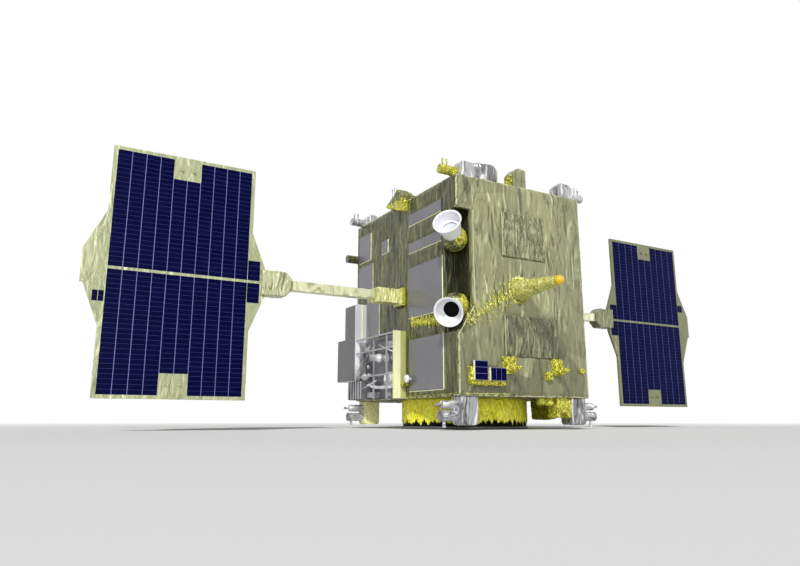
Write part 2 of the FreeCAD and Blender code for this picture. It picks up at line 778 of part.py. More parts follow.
def radiators():
    front = f"{FRONT_WALL} + RadiatorFront"
    width = "BodyDepth / 2 - RadiatorFront - CollarSide / 2 - RadiatorRootGap"
    for name, side in (("left", -1), ("right", 1)):
        plates = [wall_plate(f"{name}_plate_{row}", side, front, width, row)
                  for row in ("StripHigh", "StripLow", "Main", "Low")]
        node(group(f"radiators_{name}", *plates), f"radiators_{name}")
    edge = f"{BACK_WALL} - ColumnEdge"
    bay_edge = f"{BACK_WALL} - BayBackMargin - ColumnGap"
    columns = [wall_plate(f"column_{row}", -1, f"({end}) - {row}Width", f"{row}Width", row)
               for row, end in (("ColumnHigh", edge), ("ColumnMid", edge), ("ColumnLow", bay_edge))]
    columns.append(wall_plate("column_square", -1, "SquarePlace - SquareSide / 2", "SquareSide", "Square"))
    node(group("radiators_back_left", *columns), "radiators_back_left")
    patches = [box(f"patch_{row}", f"{row}Width", "PatchThick", f"BodyHeight * {row}TallShare",
                   f"-PatchLeft + {row}Width / 2", f"{FRONT_WALL} - PatchThick / 2",
                   f"RingHeight + BodyHeight * {row}Share") for row in ("PatchHigh", "PatchLow")]
    node(group("blanket_patches", *patches), "blanket_patches")


# Small instruments on the front wall

def front_instruments():
    x, z = "-ConePlace", "RingHeight + ConeHeight"
    cone = taper("low_gain_cone", "ConeBase", "ConeTip", "ConeReach", x, FRONT_WALL, z, "-y")
    node(cone, "low_gain_cone")
    dome = doc.addObject("Part::Sphere", "low_gain_dome")
    bind(dome, "Radius", "DomeRadius")
    seat = "ConeTip * DomeSeatShare"
    bind(dome, "Angle1", f"-acos({seat} / DomeRadius)")
    place(dome, x, f"{FRONT_WALL} - ConeReach - sqrt(DomeRadius ^ 2 - ({seat}) ^ 2)", z, TURNS["-y"])
    node(dome, "low_gain_dome")
    case = box("coupon_box", "CouponBoxWidth", "CouponBoxDepth", "CouponBoxHeight", "-CouponBoxPlace",
               f"{FRONT_WALL} - CouponBoxDepth / 2", "RingHeight + CouponBoxFoot")
    node(case, "coupon_box")
    coupons = [box(f"coupon_{part}", f"Coupon{part}Width", "CouponThick", f"Coupon{part}Height",
                   f"-Coupon{part}Place", f"{FRONT_WALL} - CouponBoxDepth - CouponThick / 2",
                   "RingHeight + CouponFoot") for part in ("Left", "Right")]
    node(group("cell_coupons", *coupons), "cell_coupons")
    horns = []
    for at, x in (("left", "-HornLeft"), ("right", "HornRight")):
        foot = "RingHeight + HornFoot"
        case = box(f"horn_{at}_case", "HornWidth", "HornDepth", "HornHeight", x,
                   f"{FRONT_WALL} - HornDepth / 2", foot)
        tip = taper(f"horn_{at}_tip", "HornRoot", "HornTip", "HornReach", x,
                    f"{FRONT_WALL} - HornDepth", f"{foot} + HornHeight * HornTipShare", "-y")
        horns.append(joined(f"horn_{at}", case, tip))
    horns.append(box("horn_electronics", "HornSideWidth", "HornDepth", "HornSideHeight",
                     "HornRight - HornWidth / 2 - HornSideGap - HornSideWidth / 2",
                     f"{FRONT_WALL} - HornDepth / 2", "RingHeight + HornSideFoot"))
    node(group("horn_sensors", *horns), "horn_sensors")
    knob = rod("sun_eye_front", "KnobRadius", "KnobRadius", "KnobPlace", FRONT_WALL,
               "RingHeight + KnobHeight", "-y")
    eye = rod("sun_eye_left", "EyeRadius", "EyeReach", LEFT_WALL, "-EyePlace", "RingHeight + EyeHeight", "-x")
    node(group("sun_eyes", knob, eye), "sun_eyes")


# The instrument bay on the left wall

def instrument_bay():
    wall = LEFT_WALL
    node(box("bay_wall_front", "BayReach", "BayWall", "BayHeight", f"{wall} - BayReach / 2",
             "-BayFront + BayWall / 2", "RingHeight"), "bay_wall_front")
    bay_back = f"{BACK_WALL} - BayBackMargin"
    foot = "RingHeight + RibBoxFoot + RibBoxHeight + BayBoxLowGap"
    node(box("bay_wall_back", "BayReach", "BayWall", "BayBoxLowHeight + BayBoxHighHeight",
             f"{wall} - BayReach / 2", f"{bay_back} + BayWall / 2", foot), "bay_wall_back")
    boxes = []
    for part, level in (("Low", foot), ("High", f"{foot} + BayBoxLowHeight")):
        deep = f"BayBackMargin - BayWall + BayBox{part}Overhang"
        boxes.append(box(f"bay_box_{part}", f"BayBox{part}Reach", deep, f"BayBox{part}Height",
                         f"{wall} - BayBox{part}Reach / 2", f"{bay_back} + BayWall + ({deep}) / 2", level))
    node(joined("bay_boxes", *boxes), "bay_boxes")
    span = f"{bay_back} + BayFront - BayWall"
    middle = f"({bay_back} - BayFront + BayWall) / 2"
    x = f"{wall} - BayReach + RailInset + RailSide / 2"
    rails = [box(f"bay_rail_{at}", "RailSide", span, "RailSide", x, middle, f"RingHeight + {foot}")
             for at, foot in (("high", "RailHigh"), ("mid", "RailMid"), ("low", "RailLow"))]
    posts = [box(f"bay_post_{at}", "RailSide", "RailSide", "RailHigh + RailSide", x, y, "RingHeight")
             for at, y in (("front", "PostFront"), ("back", "PostBack"))]
    node(joined("bay_frame", *rails, *posts), "bay_frame")
    z = "RingHeight + BarrelHeight"
    barrel = joined(
        "barrel_whole",
        rod("barrel_tube", "BarrelRadius", "BarrelReach", wall, "BarrelPlace", z, "-x"),
        rod("barrel_cap", "BarrelCap", "BarrelCapReach", f"{wall} - BarrelReach", "BarrelPlace", z, "-x"),
    )
    bore = rod("barrel_bore", "BarrelBore", "BarrelCapReach + CutOverrun", f"{wall} - BarrelReach",
               "BarrelPlace", z, "-x")
    disc = rod("camera_disc", "DrumEyeRadius", "DrumEyeReach", wall, "DrumEyePlace",
               "RingHeight + DrumEyeHeight", "-x")
    node(group("bay_cameras", less("camera_barrel", barrel, bore), disc), "bay_cameras")
    case = box("rib_case", "RibBoxReach", "RibBoxWidth", "RibBoxHeight", f"{wall} - RibBoxReach / 2",
               f"{BACK_WALL} - RibBoxMargin", "RingHeight + RibBoxFoot")
    ribs = [box(f"rib_{at}", "RibReach", "RibThick", "RibBoxHeight", f"{wall} - RibBoxReach - RibReach / 2",
                f"{BACK_WALL} - RibBoxMargin + ({at} - ({RIBS} - 1) / 2) * RibPitch",
                "RingHeight + RibBoxFoot") for at in range(RIBS)]
    node(joined("ribbed_box", case, *ribs), "ribbed_box")


# The back wall: flat dish antenna and side sensor

def back_instruments():
    z = "RingHeight + BodyHeight / 2 - DishDrop"
    node(turned("dish_antenna", [
        ("0", "0"),
        ("DishHub", "0"),
        ("DishHub", "DishGap"),
        ("DishRadius", "DishGap"),
        ("DishRadius", "DishGap + DishThick + DishRim"),
        ("DishRadius - DishRim", "DishGap + DishThick + DishRim"),
        ("DishRadius - DishRim", "DishGap + DishThick"),
        ("0", "DishGap + DishThick"),
    ], "0", "BodyDepth / 2", z, TURNS["+y"]), "dish_antenna")
    x = f"{LEFT_WALL} + CornerCut + SideEyeBlock / 2"
    foot = f"{ROOF} - SideEyeDrop"
    case = box("side_eye_case", "SideEyeBlock", "SideEyeThick", "SideEyeBlock", x,
               "BodyDepth / 2 + SideEyeThick / 2", foot)
    tube = rod("side_eye_tube", "SideEyeRadius", "SideEyeReach + SideEyeBlock / 2", x,
               "BodyDepth / 2 + SideEyeThick - SideEyeSink", f"{foot} + SideEyeBlock / 2", "-x")
    behind = box("side_eye_behind", "2 * BodyWidth", "2 * SideEyeThick", "BodyHeight", "0",
                 "BodyDepth / 2 - SideEyeThick", "RingHeight")
    node(less("side_eye", joined("side_eye_whole", case, tube), behind), "side_eye")


# One solar wing: root, fold hinge, boom, drive, panel and cells

def solar_wing(name, side):
    way = "+x" if side > 0 else "-x"
    axis = "RingHeight + WingHeight"
    wall = f"{side} * BodyWidth / 2"
    pivot_out = "CollarThick + SleeveReach + KnuckleRadius + HingeGap"
    pivot_x = f"{wall} + {side} * ({pivot_out})"
    pivot_y = "BoomSide / 2 + KnuckleRadius + KnuckleGap"

    collar = box(f"{name}_collar", "CollarThick", "CollarSide", "CollarSide",
                 f"{wall} + {side} * CollarThick / 2", "0", f"{axis} - CollarSide / 2")
    sleeve = box(f"{name}_sleeve", "SleeveReach", "SleeveSide", "SleeveSide",
                 f"{wall} + {side} * (CollarThick + SleeveReach / 2)", "0", f"{axis} - SleeveSide / 2")
    pieces = [collar, sleeve]
    for at, foot in (("low", "-KnuckleHalf"), ("high", "KnuckleSplit + KnuckleGap")):
        tall = "KnuckleHalf - KnuckleSplit - KnuckleGap"
        leaf_reach = "(KnuckleRadius + HingeGap + LeafReach)"
        pieces.append(rod(f"{name}_root_knuckle_{at}", "KnuckleRadius", tall, pivot_x, pivot_y,
                          f"{axis} + {foot}"))
        pieces.append(box(f"{name}_root_leaf_{at}", leaf_reach, "KnuckleRadius", tall,
                          f"({pivot_x}) - {side} * {leaf_reach} / 2",
                          f"{pivot_y} - KnuckleRadius / 2", f"{axis} + {foot}"))
    pieces.append(rod(f"{name}_pin", "HingePinRadius", "2 * KnuckleHalf", pivot_x, pivot_y,
                      f"{axis} - KnuckleHalf"))
    node(joined(f"{name}_root", *pieces), f"{name}_root")

    near = f"({pivot_out}) + BodyWidth / 2"
    reach = f"DriveNear - DriveGap - ({near})"
    tube = box(f"{name}_boom_tube", reach, "BoomSide", "BoomSide",
               f"{side} * (({near}) + ({reach}) / 2)", "0", f"{axis} - BoomSide / 2")
    knuckle = rod(f"{name}_boom_knuckle", "KnuckleRadius", "2 * KnuckleSplit", pivot_x, pivot_y,
                  f"{axis} - KnuckleSplit")
    leaf = box(f"{name}_boom_leaf", "LeafReach", "KnuckleRadius + KnuckleGap", "2 * KnuckleSplit",
               f"({pivot_x}) + {side} * LeafReach / 2", f"{pivot_y} - (KnuckleRadius + KnuckleGap) / 2",
               f"{axis} - KnuckleSplit")
    shaft = rod(f"{name}_shaft", "ShaftRadius", "ShaftReach + DriveGap",
                f"{side} * (DriveNear - DriveGap)", "0", axis, way)
    bore = rod(f"{name}_knuckle_bore", "HingePinRadius + HingePinGap", "2 * KnuckleHalf", pivot_x, pivot_y,
               f"{axis} - KnuckleHalf")
    node(less(f"{name}_boom", joined(f"{name}_boom_whole", tube, knuckle, leaf, shaft), bore), f"{name}_boom")

    middle = f"{side} * (DriveNear + DriveWidth / 2)"
    housing = padded(f"{name}_drive_case", "XZ_Plane", [(f"{side} * ({across})", along) for across, along in (
        ("-DriveWidth / 2", "-DriveHeight / 2 + DriveCut"),
        ("-DriveWidth / 2 + DriveCut", "-DriveHeight / 2"),
        ("DriveWidth / 2", "-DriveHeight / 2"),
        ("DriveWidth / 2", "DriveHeight / 2"),
        ("-DriveWidth / 2 + DriveCut", "DriveHeight / 2"),
        ("-DriveWidth / 2", "DriveHeight / 2 - DriveCut"),
    )], "DriveDepth", middle, "DriveDepth / 2", axis)
    hole = rod(f"{name}_drive_hole", "ShaftRadius + ShaftGap", "ShaftReach + ShaftGap + CutOverrun",
               f"{side} * (DriveNear - CutOverrun)", "0", axis, way)
    sunk = "DriveNear + DriveWidth - (WingNear - LobeNearReach)"
    slot = box(f"{name}_drive_slot", f"{sunk} + CutOverrun", "WingThick", "DriveHeight + 2 * CutOverrun",
               f"{side} * (WingNear - LobeNearReach + ({sunk} + CutOverrun) / 2)", "0",
               f"{axis} - DriveHeight / 2 - CutOverrun")
    cuts = group(f"{name}_drive_cuts", hole, slot)
    node(less(f"{name}_drive", housing, cuts), f"{name}_drive")

    far = "WingWidth"
    panel = padded(f"{name}_panel_sheet", "XZ_Plane", [(f"{side} * ({across})", along) for across, along in (
        ("0", "-WingTall / 2"),
        (far, "-WingTall / 2"),
        (far, "-LobeFarRoot"),
        (f"{far} + LobeFarReach - LobeStep", "-LobeFarTip"),
        (f"{far} + LobeFarReach", "-LobeFarTip"),
        (f"{far} + LobeFarReach", "LobeFarTip"),
        (far, "LobeFarRoot"),
        (far, "WingTall / 2"),
        ("0", "WingTall / 2"),
        ("0", "LobeNearRoot"),
        ("-LobeNearReach", "LobeNearTip"),
        ("-LobeNearReach", "-LobeNearTip"),
        ("0", "-LobeNearRoot"),
    )], "WingThick", f"{side} * WingNear", "WingThick / 2", axis)
    studs = []
    for part, up in (("low", -1), ("high", 1)):
        for at in (-1, 1):
            studs.append(rod(f"{name}_stud_{part}_{at}", "StudRadius", "StudReach",
                             f"{side} * (WingNear + WingWidth / 2) + {at} * StudPitch / 2", "-WingThick / 2",
                             f"{axis} + {up} * (WingTall / 2 - CellMargin - CellNotch / 2)", "-y"))
    node(joined(f"{name}_panel", panel, *studs), f"{name}_panel")

    pitch = f"((WingWidth - 2 * CellMargin) / {COLUMNS})"
    strings = []
    for part, up in (("low", -1), ("high", 1)):
        for column in range(COLUMNS):
            notched = column in NOTCHED
            tall = "WingTall / 2 - CellMargin - CellStrip / 2"
            tall += " - CellNotch" if notched else ""
            foot = "CellStrip / 2" if up > 0 else f"-CellStrip / 2 - ({tall})"
            strings.append(box(f"{name}_string_{part}_{column}", f"{pitch} - CellLine", "CellThick", tall,
                               f"{side} * (WingNear + CellMargin + {pitch} * ({column} + 1 / 2))",
                               "-WingThick / 2 - CellThick / 2", f"{axis} + {foot}"))
        foot = "CellStrip / 2" if up > 0 else "-CellStrip / 2 - CellNotch"
        strings.append(box(f"{name}_string_{part}_stub", f"{pitch} - CellLine", "CellThick", "CellNotch",
                           f"{side} * (WingNear + CellMargin - {pitch} / 2)",
                           "-WingThick / 2 - CellThick / 2", f"{axis} + {foot}"))
    for at in (-1, 1):
        strings.append(box(f"{name}_lobe_cell_{at}", "LobeCellWidth", "CellThick", "LobeCellHeight",
                           f"{side} * (WingNear + WingWidth + LobeCellOut + {at} * LobeCellPitch / 2)",
                           "-WingThick / 2 - CellThick / 2",
                           f"{axis} + {side} * LobeCellDrop - LobeCellHeight / 2"))
    node(group(f"{name}_cells", *strings), f"{name}_cells")


def build():
    body_walls()
    adapter()
    for corner in CORNERS:
        thruster_cluster(*corner)
    roof_items()
    under_floor()
    star_trackers()
    radiators()
    front_instruments()
    instrument_bay()
    back_instruments()
    solar_wing("left", -1)
    solar_wing("right", 1)
    doc.recompute()
    for item in doc.Objects:
        if "Invalid" in item.State or "Error" in item.State:
            raise RuntimeError(f"{item.Name} failed: {item.State}")
    for item in NODES:
        if item.Shape.isNull() or not item.Shape.isValid():
            raise RuntimeError(f"{item.Label} has no valid shape")
    for item in NODES:
        item.Shape.exportStep(f"parts/{item.Label}.step")


build()
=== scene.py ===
import json
import math

import bmesh
import bpy
from mathutils import Matrix, Vector, noise


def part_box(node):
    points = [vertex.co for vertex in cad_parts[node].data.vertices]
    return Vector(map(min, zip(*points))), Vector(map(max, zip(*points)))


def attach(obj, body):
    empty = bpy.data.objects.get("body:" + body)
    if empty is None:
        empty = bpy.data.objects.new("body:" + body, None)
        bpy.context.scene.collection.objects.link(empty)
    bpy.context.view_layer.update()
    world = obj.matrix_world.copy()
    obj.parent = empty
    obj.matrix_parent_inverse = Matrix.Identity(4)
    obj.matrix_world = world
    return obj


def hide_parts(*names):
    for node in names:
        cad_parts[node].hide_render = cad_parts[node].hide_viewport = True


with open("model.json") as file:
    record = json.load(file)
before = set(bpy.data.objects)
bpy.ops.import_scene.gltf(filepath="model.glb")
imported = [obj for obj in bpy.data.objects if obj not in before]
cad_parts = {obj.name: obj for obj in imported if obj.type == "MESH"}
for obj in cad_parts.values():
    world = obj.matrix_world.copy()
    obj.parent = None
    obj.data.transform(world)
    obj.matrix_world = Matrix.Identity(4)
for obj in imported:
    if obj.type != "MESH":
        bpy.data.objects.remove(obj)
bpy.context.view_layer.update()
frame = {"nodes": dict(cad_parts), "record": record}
NODES = frame["nodes"]

# The body's planes and heights, in metres, from the frame
LEFT, FRONT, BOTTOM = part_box("floor_panel")[0]
RIGHT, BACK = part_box("floor_panel")[1].xy
ROOF_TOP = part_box("roof_panel")[1].z
AXIS = (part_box("left_boom")[0].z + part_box("left_boom")[1].z) / 2

# For each wall: across it, up it and out of it
X, Y, Z = (Vector(way) for way in ((1, 0, 0), (0, 1, 0), (0, 0, 1)))
WALLS = {
    "front": (X, Z, -Y),
    "back": (X, Z, Y),
    "left": (Y, Z, -X),
    "right": (Y, Z, X),
    "roof": (X, Y, Z),
    "floor": (X, Y, -Z),
}


def srgb(red, green, blue):
    """A colour given as it looks on a screen, 0 to 255, as linear values."""
    levels = [level / 255 for level in (red, green, blue)]
    linear = [level / 12.92 if level <= 0.04045 else ((level + 0.055) / 1.055) ** 2.4 for level in levels]
    return (*linear, 1.0)


# Colours seen in the photograph
# In each triple, the first and the last tone are the painted highlight and the painted shade about the middle
# tone
KHAKI = srgb(180, 183, 143), srgb(147, 148, 112), srgb(102, 103, 72)
OLIVE = srgb(122, 124, 78), srgb(79, 81, 44), srgb(47, 49, 22)
FLOOR_OLIVE = srgb(78, 78, 52)
GOLD = srgb(238, 238, 96), srgb(212, 209, 66), srgb(122, 115, 30)
PALE_YELLOW = srgb(240, 243, 194)


# Materials

MATERIALS = {}


class Tree:
    """A node tree, with a short call for each kind of node that the surfaces here share."""

    def __init__(self, owner):
        owner.use_nodes = True
        self.nodes = owner.node_tree.nodes
        self.links = owner.node_tree.links

    def feed(self, socket, value):
        """Links a node's output to the socket, or sets the socket to a constant."""
        if isinstance(value, bpy.types.NodeSocket):
            self.links.new(value, socket)
        else:
            socket.default_value = value

    def add(self, kind, output, inputs, **settings):
        """One output of a new node, whose inputs are linked or set."""
        item = self.nodes.new("ShaderNode" + kind)
        for name, value in settings.items():
            setattr(item, name, value)
        for key, value in inputs.items():
            self.feed(item.inputs[key], value)
        return item.outputs[output]

    def stretched(self, scale, turn=(0, 0, 0)):
        return self.add("Mapping", "Vector", {"Vector": self.place, "Scale": scale, "Rotation": turn})

    def moved(self, place, step):
        return self.add("VectorMath", "Vector", {0: place, 1: step}, operation="ADD")

    def noise(self, place, scale, detail=3.0, rough=0.5, warp=0.0):
        return self.add("TexNoise", "Fac", {
            "Vector": place, "Scale": scale, "Detail": detail, "Roughness": rough, "Distortion": warp})

    def facets(self, place, scale, feature="F1"):
        return self.add("TexVoronoi", "Distance", {"Vector": place, "Scale": scale}, feature=feature)

    def part(self, vector, axis):
        return self.add("SeparateXYZ", axis, {"Vector": vector})

    def planes(self, place, scale):
        """A level from 0 to 1 that is the same all over each flat cell."""
        return self.part(self.add("TexVoronoi", "Color", {"Vector": place, "Scale": scale}), "X")

    def ramp(self, value, stops, smooth=True):
        colour = self.add("ValToRGB", "Color", {"Fac": value})
        ramp = colour.node.color_ramp
        ramp.interpolation = "EASE" if smooth else "LINEAR"
        while len(ramp.elements) < len(stops):
            ramp.elements.new(0.5)
        for element, (at, tone) in zip(ramp.elements, stops):
            element.position = at
            element.color = tone
        return colour

    def greys(self, value, *stops, smooth=False):
        """A ramp whose stops are (place, grey level)."""
        return self.ramp(value, [(at, (level, level, level * 0.98, 1)) for at, level in stops], smooth)

    def math(self, operation, first, second=0.5):
        return self.add("Math", "Value", {0: first, 1: second}, operation=operation)

    def blend(self, factor, first, second, way="MIX"):
        return self.add("Mix", 2, {0: factor, 6: first, 7: second}, data_type="RGBA", blend_type=way)

    def shaded(self, amount, colour, shade):
        return self.blend(amount, colour, shade, "MULTIPLY")

    def bump(self, height, strength, distance, under=None):
        inputs = {"Strength": strength, "Distance": distance, "Height": height}
        return self.add("Bump", "Normal", inputs if under is None else {**inputs, "Normal": under})

    def spread(self, value, low, high, start=0, end=1):
        return self.add("MapRange", "Result", {
            "From Min": start, "From Max": end, "To Min": low, "To Max": high, "Value": value})

    def finish(self, colour, rough, normal, metal=0.0, **fixed):
        """The shader's inputs, with those that are the same all over by their socket's name."""
        shader = self.nodes["Principled BSDF"]
        inputs = {"Base Color": colour, "Roughness": rough, "Normal": normal, "Metallic": metal, **fixed}
        for name, value in inputs.items():
            self.feed(shader.inputs[name.replace("_", " ")], value)


def surface(name):
    """The tree of a new material, with the place on the object to paint by."""
    MATERIALS[name] = bpy.data.materials.new(name)
    tree = Tree(MATERIALS[name])
    tree.place = tree.add("TexCoord", "Object", {})
    return tree


def times(colour, share):
    return (*(value * share for value in colour[:3]), 1)


def blanket(name, light, middle, dark, fold, stretch=(1, 1, 0.3), strength=0.8, metal=0.1, rough=0.2,
            gain=3.0, crease=0.6, plane=0.35, painted_shade_heights=None):
    """Film blanket that hangs in long folds, with light and shade painted into its colour: each fold has a
    painted bright side and a painted dark side, with thin painted shade in the creases between taut planes,
    and each plane a painted tone of shading. Between the two heights given for the painted shade towards the
    bottom, the folds fade into darker planes."""
    tree = surface(name)
    place = tree.stretched(stretch)
    beside = tree.moved(place, (0.006, 0.006, 0.0))
    folds, shifted = (tree.noise(spot, fold, 2, 0.45, 0.9) for spot in (place, beside))
    # The side of each fold, from the slope between two near points, is painted lit or shaded: painted light
    # and shade
    side = tree.math("ADD", tree.math("MULTIPLY", tree.math("SUBTRACT", shifted, folds), gain), 0.5)
    tone = tree.ramp(side, [(0.02, dark), (0.32, middle), (0.66, middle), (0.97, light)], False)
    wander = tree.noise(tree.stretched((1, 1, stretch[2] * 0.6)), fold * 0.62, 1.5, 0.5, 0.5)
    line = tree.math("ABSOLUTE", tree.math("SUBTRACT", wander, 0.5))
    # Painted shade in the thin creases
    shade = tree.greys(line, (0.0, 0.42), (0.012, 0.86), (0.026, 1.0), (0.05, 1.05))
    # Painted shading of the taut planes: one tone for each plane
    flat = tree.planes(tree.stretched((1, 1, 0.42), (0, 0.4, 0)), fold * 0.38)
    painted_plane_shade = tree.greys(flat, (0.0, 0.6), (1.0, 1.2))
    amount = plane
    # Painted shade towards the bottom: between the two heights the folds fade into darker, larger planes
    if painted_shade_heights:
        large = tree.planes(tree.stretched((1, 1, 0.7), (0, 0.6, 0)), 5.5)
        painted_plane_shade = tree.blend(0.9, painted_plane_shade, tree.greys(large, (0.0, 0.42), (0.5, 0.84), (1.0, 1.3)))
        low = tree.spread(tree.part(tree.place, "Z"), 0, 1, *painted_shade_heights)
        tone = tree.blend(tree.math("MULTIPLY", low, 0.75), tone, times(middle, 0.64))
        amount = tree.math("ADD", tree.math("MULTIPLY", low, 0.85 - plane), plane)
    colour = tree.shaded(crease, tone, shade)
    colour = tree.shaded(amount, colour, painted_plane_shade)
    broad = tree.noise(tree.stretched((1, 1, 0.5)), fold * 0.2, 3, 0.5, 0.6)
    colour = tree.shaded(0.45, colour, tree.greys(broad, (0.35, 0.86), (0.6, 1.07), smooth=True))
    fine = tree.noise(tree.stretched((1, 1, 0.35)), fold * 2.4, 3, 0.6, 0.8)
    normal = tree.bump(folds, strength, 0.014)
    normal = tree.bump(tree.greys(line, (0.0, 0.0), (0.03, 1.0), smooth=True), strength * 0.4, 0.002, normal)
    normal = tree.bump(fine, strength * 0.2, 0.0015, normal)
    tree.finish(colour, tree.spread(fine, rough * 0.7, rough * 1.5), normal, metal)


def foil(name, light, middle, dark, size=60.0, strength=0.9, metal=0.3, stretch=(1, 1, 1), rough=0.26,
         jump=0.15, painted_crease_shade=0.6):
    """Crumpled metal film: small flat facets at all angles, with sharp creases between them. Its light and
    dark tones are painted highlight and painted shade of the crumples, and each facet is painted lighter in
    its middle and darker towards its edges, as painted shade in the creases.
    """
    tree = surface(name)
    place = tree.stretched(stretch)
    crumple = tree.noise(place, size, 5, 0.65, 1.4)
    facet = tree.facets(place, size * 1.1)
    edge = tree.facets(place, size * 0.7, "DISTANCE_TO_EDGE")
    near = jump * 0.3
    stops = (0.5 - jump, dark), (0.5 - near, middle), (0.5 + near, middle), (0.5 + jump, light)
    # Painted highlight and painted shade of the crumples, from the crumple's height
    tone = tree.ramp(crumple, stops)
    # Painted highlight in the middle of each facet and painted shade towards its edges
    shade = tree.ramp(facet, [(0.1, (1.15, 1.15, 1.15, 1)), (0.7, (painted_crease_shade, painted_crease_shade, painted_crease_shade * 0.92, 1))])
    colour = tree.shaded(0.75, tone, shade)
    normal = tree.bump(crumple, strength, 0.006)
    normal = tree.bump(facet, strength * 0.7, 0.003, normal)
    normal = tree.bump(edge, strength * 0.5, 0.0015, normal)
    tree.finish(colour, tree.spread(crumple, rough * 0.6, rough * 1.4), normal, metal)


def coated(name, base, rough, metal, wear, grain=60.0, bump=0.12, **fixed):
    """Paint or bare metal: fine grain, faint blotches and lighter rubbed spots."""
    tree = surface(name)
    blotch = tree.noise(tree.place, 6, 4, 0.6)
    fine = tree.noise(tree.place, grain, 6, 0.65)
    low = times(base, 1 - wear)
    high = tuple(min(1, value) for value in times(base, 1 + wear))
    colour = tree.ramp(blotch, [(0.3, low), (0.5, base), (0.7, high)])
    colour = tree.blend(0.25, colour, tree.ramp(fine, [(0.35, low), (0.65, high)]))
    normal = tree.bump(fine, bump, 0.002)
    tree.finish(colour, tree.spread(fine, rough * 0.8, min(1, rough * 1.25)), normal, metal, **fixed)


def tiled(name, base, seam, pitch=0.042):
    """Radiator face: mirror tiles with thin seams, slightly uneven in tone."""
    tree = surface(name)
    lines = []
    for side in ("Y", "Z"):
        cell = tree.math("FRACT", tree.math("DIVIDE", tree.part(tree.place, side), pitch))
        lines.append(tree.math("LESS_THAN", tree.math("ABSOLUTE", tree.math("SUBTRACT", cell, 0.5)), 0.48))
    face = tree.math("MULTIPLY", *lines)
    blotch = tree.noise(tree.place, 5, 3, 0.5)
    tone = tree.ramp(blotch, [(0.3, times(base, 0.94)), (0.7, times(base, 1.06))])
    colour = tree.blend(face, seam, tone)
    normal = tree.bump(face, 0.2, 0.0006)
    normal = tree.bump(tree.noise(tree.place, 30, 3), 0.05, 0.002, normal)
    tree.finish(colour, tree.spread(blotch, 0.14, 0.22), normal, 0.3, Specular_IOR_Level=0.3)


def cell_glass(name, base, sheen):
    """Cover glass over dark blue cells, with a faint change of tone from cell to cell."""
    tree = surface(name)
    tone = tree.noise(tree.stretched((6, 6, 14)), 2.5, 2, 0.4)
    fine = tree.noise(tree.place, 90, 3, 0.5)
    tree.finish(tree.ramp(tone, [(0.3, base), (0.75, sheen)]), tree.spread(fine, 0.2, 0.32),
                tree.bump(fine, 0.05, 0.001), 0.0, Specular_IOR_Level=0.04)


# The front blanket is painted darker towards the bottom, from 0.86 m down to 0.42 m: painted shade
blanket("front", *KHAKI, 19.0, (1, 1, 0.24), gain=4.2, painted_shade_heights=(0.86, 0.42))
blanket("back", *KHAKI, 22.0, rough=0.35)
blanket("roof", *KHAKI, 14.0, (0.5, 1, 1), 0.3, 0.0, 0.6)
blanket("patch", srgb(170, 172, 132), srgb(132, 133, 100), srgb(92, 93, 65), 40.0, (1, 1, 0.34), 0.9,
        gain=4.0)
# A darker copy of the patch film, for the patches below the arms and the foot of each patch: painted shade
blanket("patch_painted_shade", srgb(144, 145, 110), srgb(110, 111, 82), srgb(74, 75, 51), 34.0, strength=0.9, gain=4.0)
# The side walls' olive is darker than the front's khaki: partly the blanket's own tone, partly painted shade
# on the side walls
blanket("side", *OLIVE, 24.0, (1, 1, 0.16), 1.0, gain=4.0, crease=0.8)
blanket("under", OLIVE[1], FLOOR_OLIVE, OLIVE[2], 18.0, (1, 1, 1), 0.5)
blanket("lining", OLIVE[1], OLIVE[2], FLOOR_OLIVE, 14.0)
blanket("boom", srgb(246, 248, 218), srgb(216, 219, 178), srgb(166, 168, 118), 34.0, (0.25, 1, 0.4), 0.35,
        0.15, gain=2.4, plane=0.2)
# drive_shade is a darker copy of drive, for the right arm's drive: painted shade
for name, colours, fold in (
    ("drive", (srgb(224, 227, 190), srgb(190, 193, 151), srgb(140, 142, 100)), 30.0),
    ("drive_shade", (srgb(166, 168, 132), srgb(128, 130, 98), srgb(84, 86, 58)), 30.0),
    ("root", (srgb(246, 247, 192), srgb(222, 223, 152), srgb(172, 172, 92)), 44.0),
):
    blanket(name, *colours, fold, strength=0.6, gain=3.5, plane=0.2)
foil("gold", *GOLD, 70.0, jump=0.08)
# The skirt's gold is brighter than the other gold films: partly its own colour, partly painted light for the
# shade under the body
foil("gold_skirt", srgb(255, 255, 100), srgb(255, 252, 40), srgb(214, 196, 8), 64.0, 0.9, 0.1, (1, 1, 0.3),
     jump=0.08, painted_crease_shade=0.86)
foil("gold_olive", GOLD[0], OLIVE[0], OLIVE[2], 26.0, 0.8, 0.5, (1, 1, 0.6), 0.16)
foil("gold_pale", srgb(250, 250, 188), srgb(228, 226, 128), srgb(152, 146, 50), 60.0, 0.8, 0.2)
# A brighter copy of the pale gold, for the cluster at the back left in the body's shade: painted light
foil("gold_painted_light", srgb(255, 255, 226), srgb(255, 253, 190), srgb(222, 216, 120), 60.0, 0.8, 0.0, painted_crease_shade=0.9)
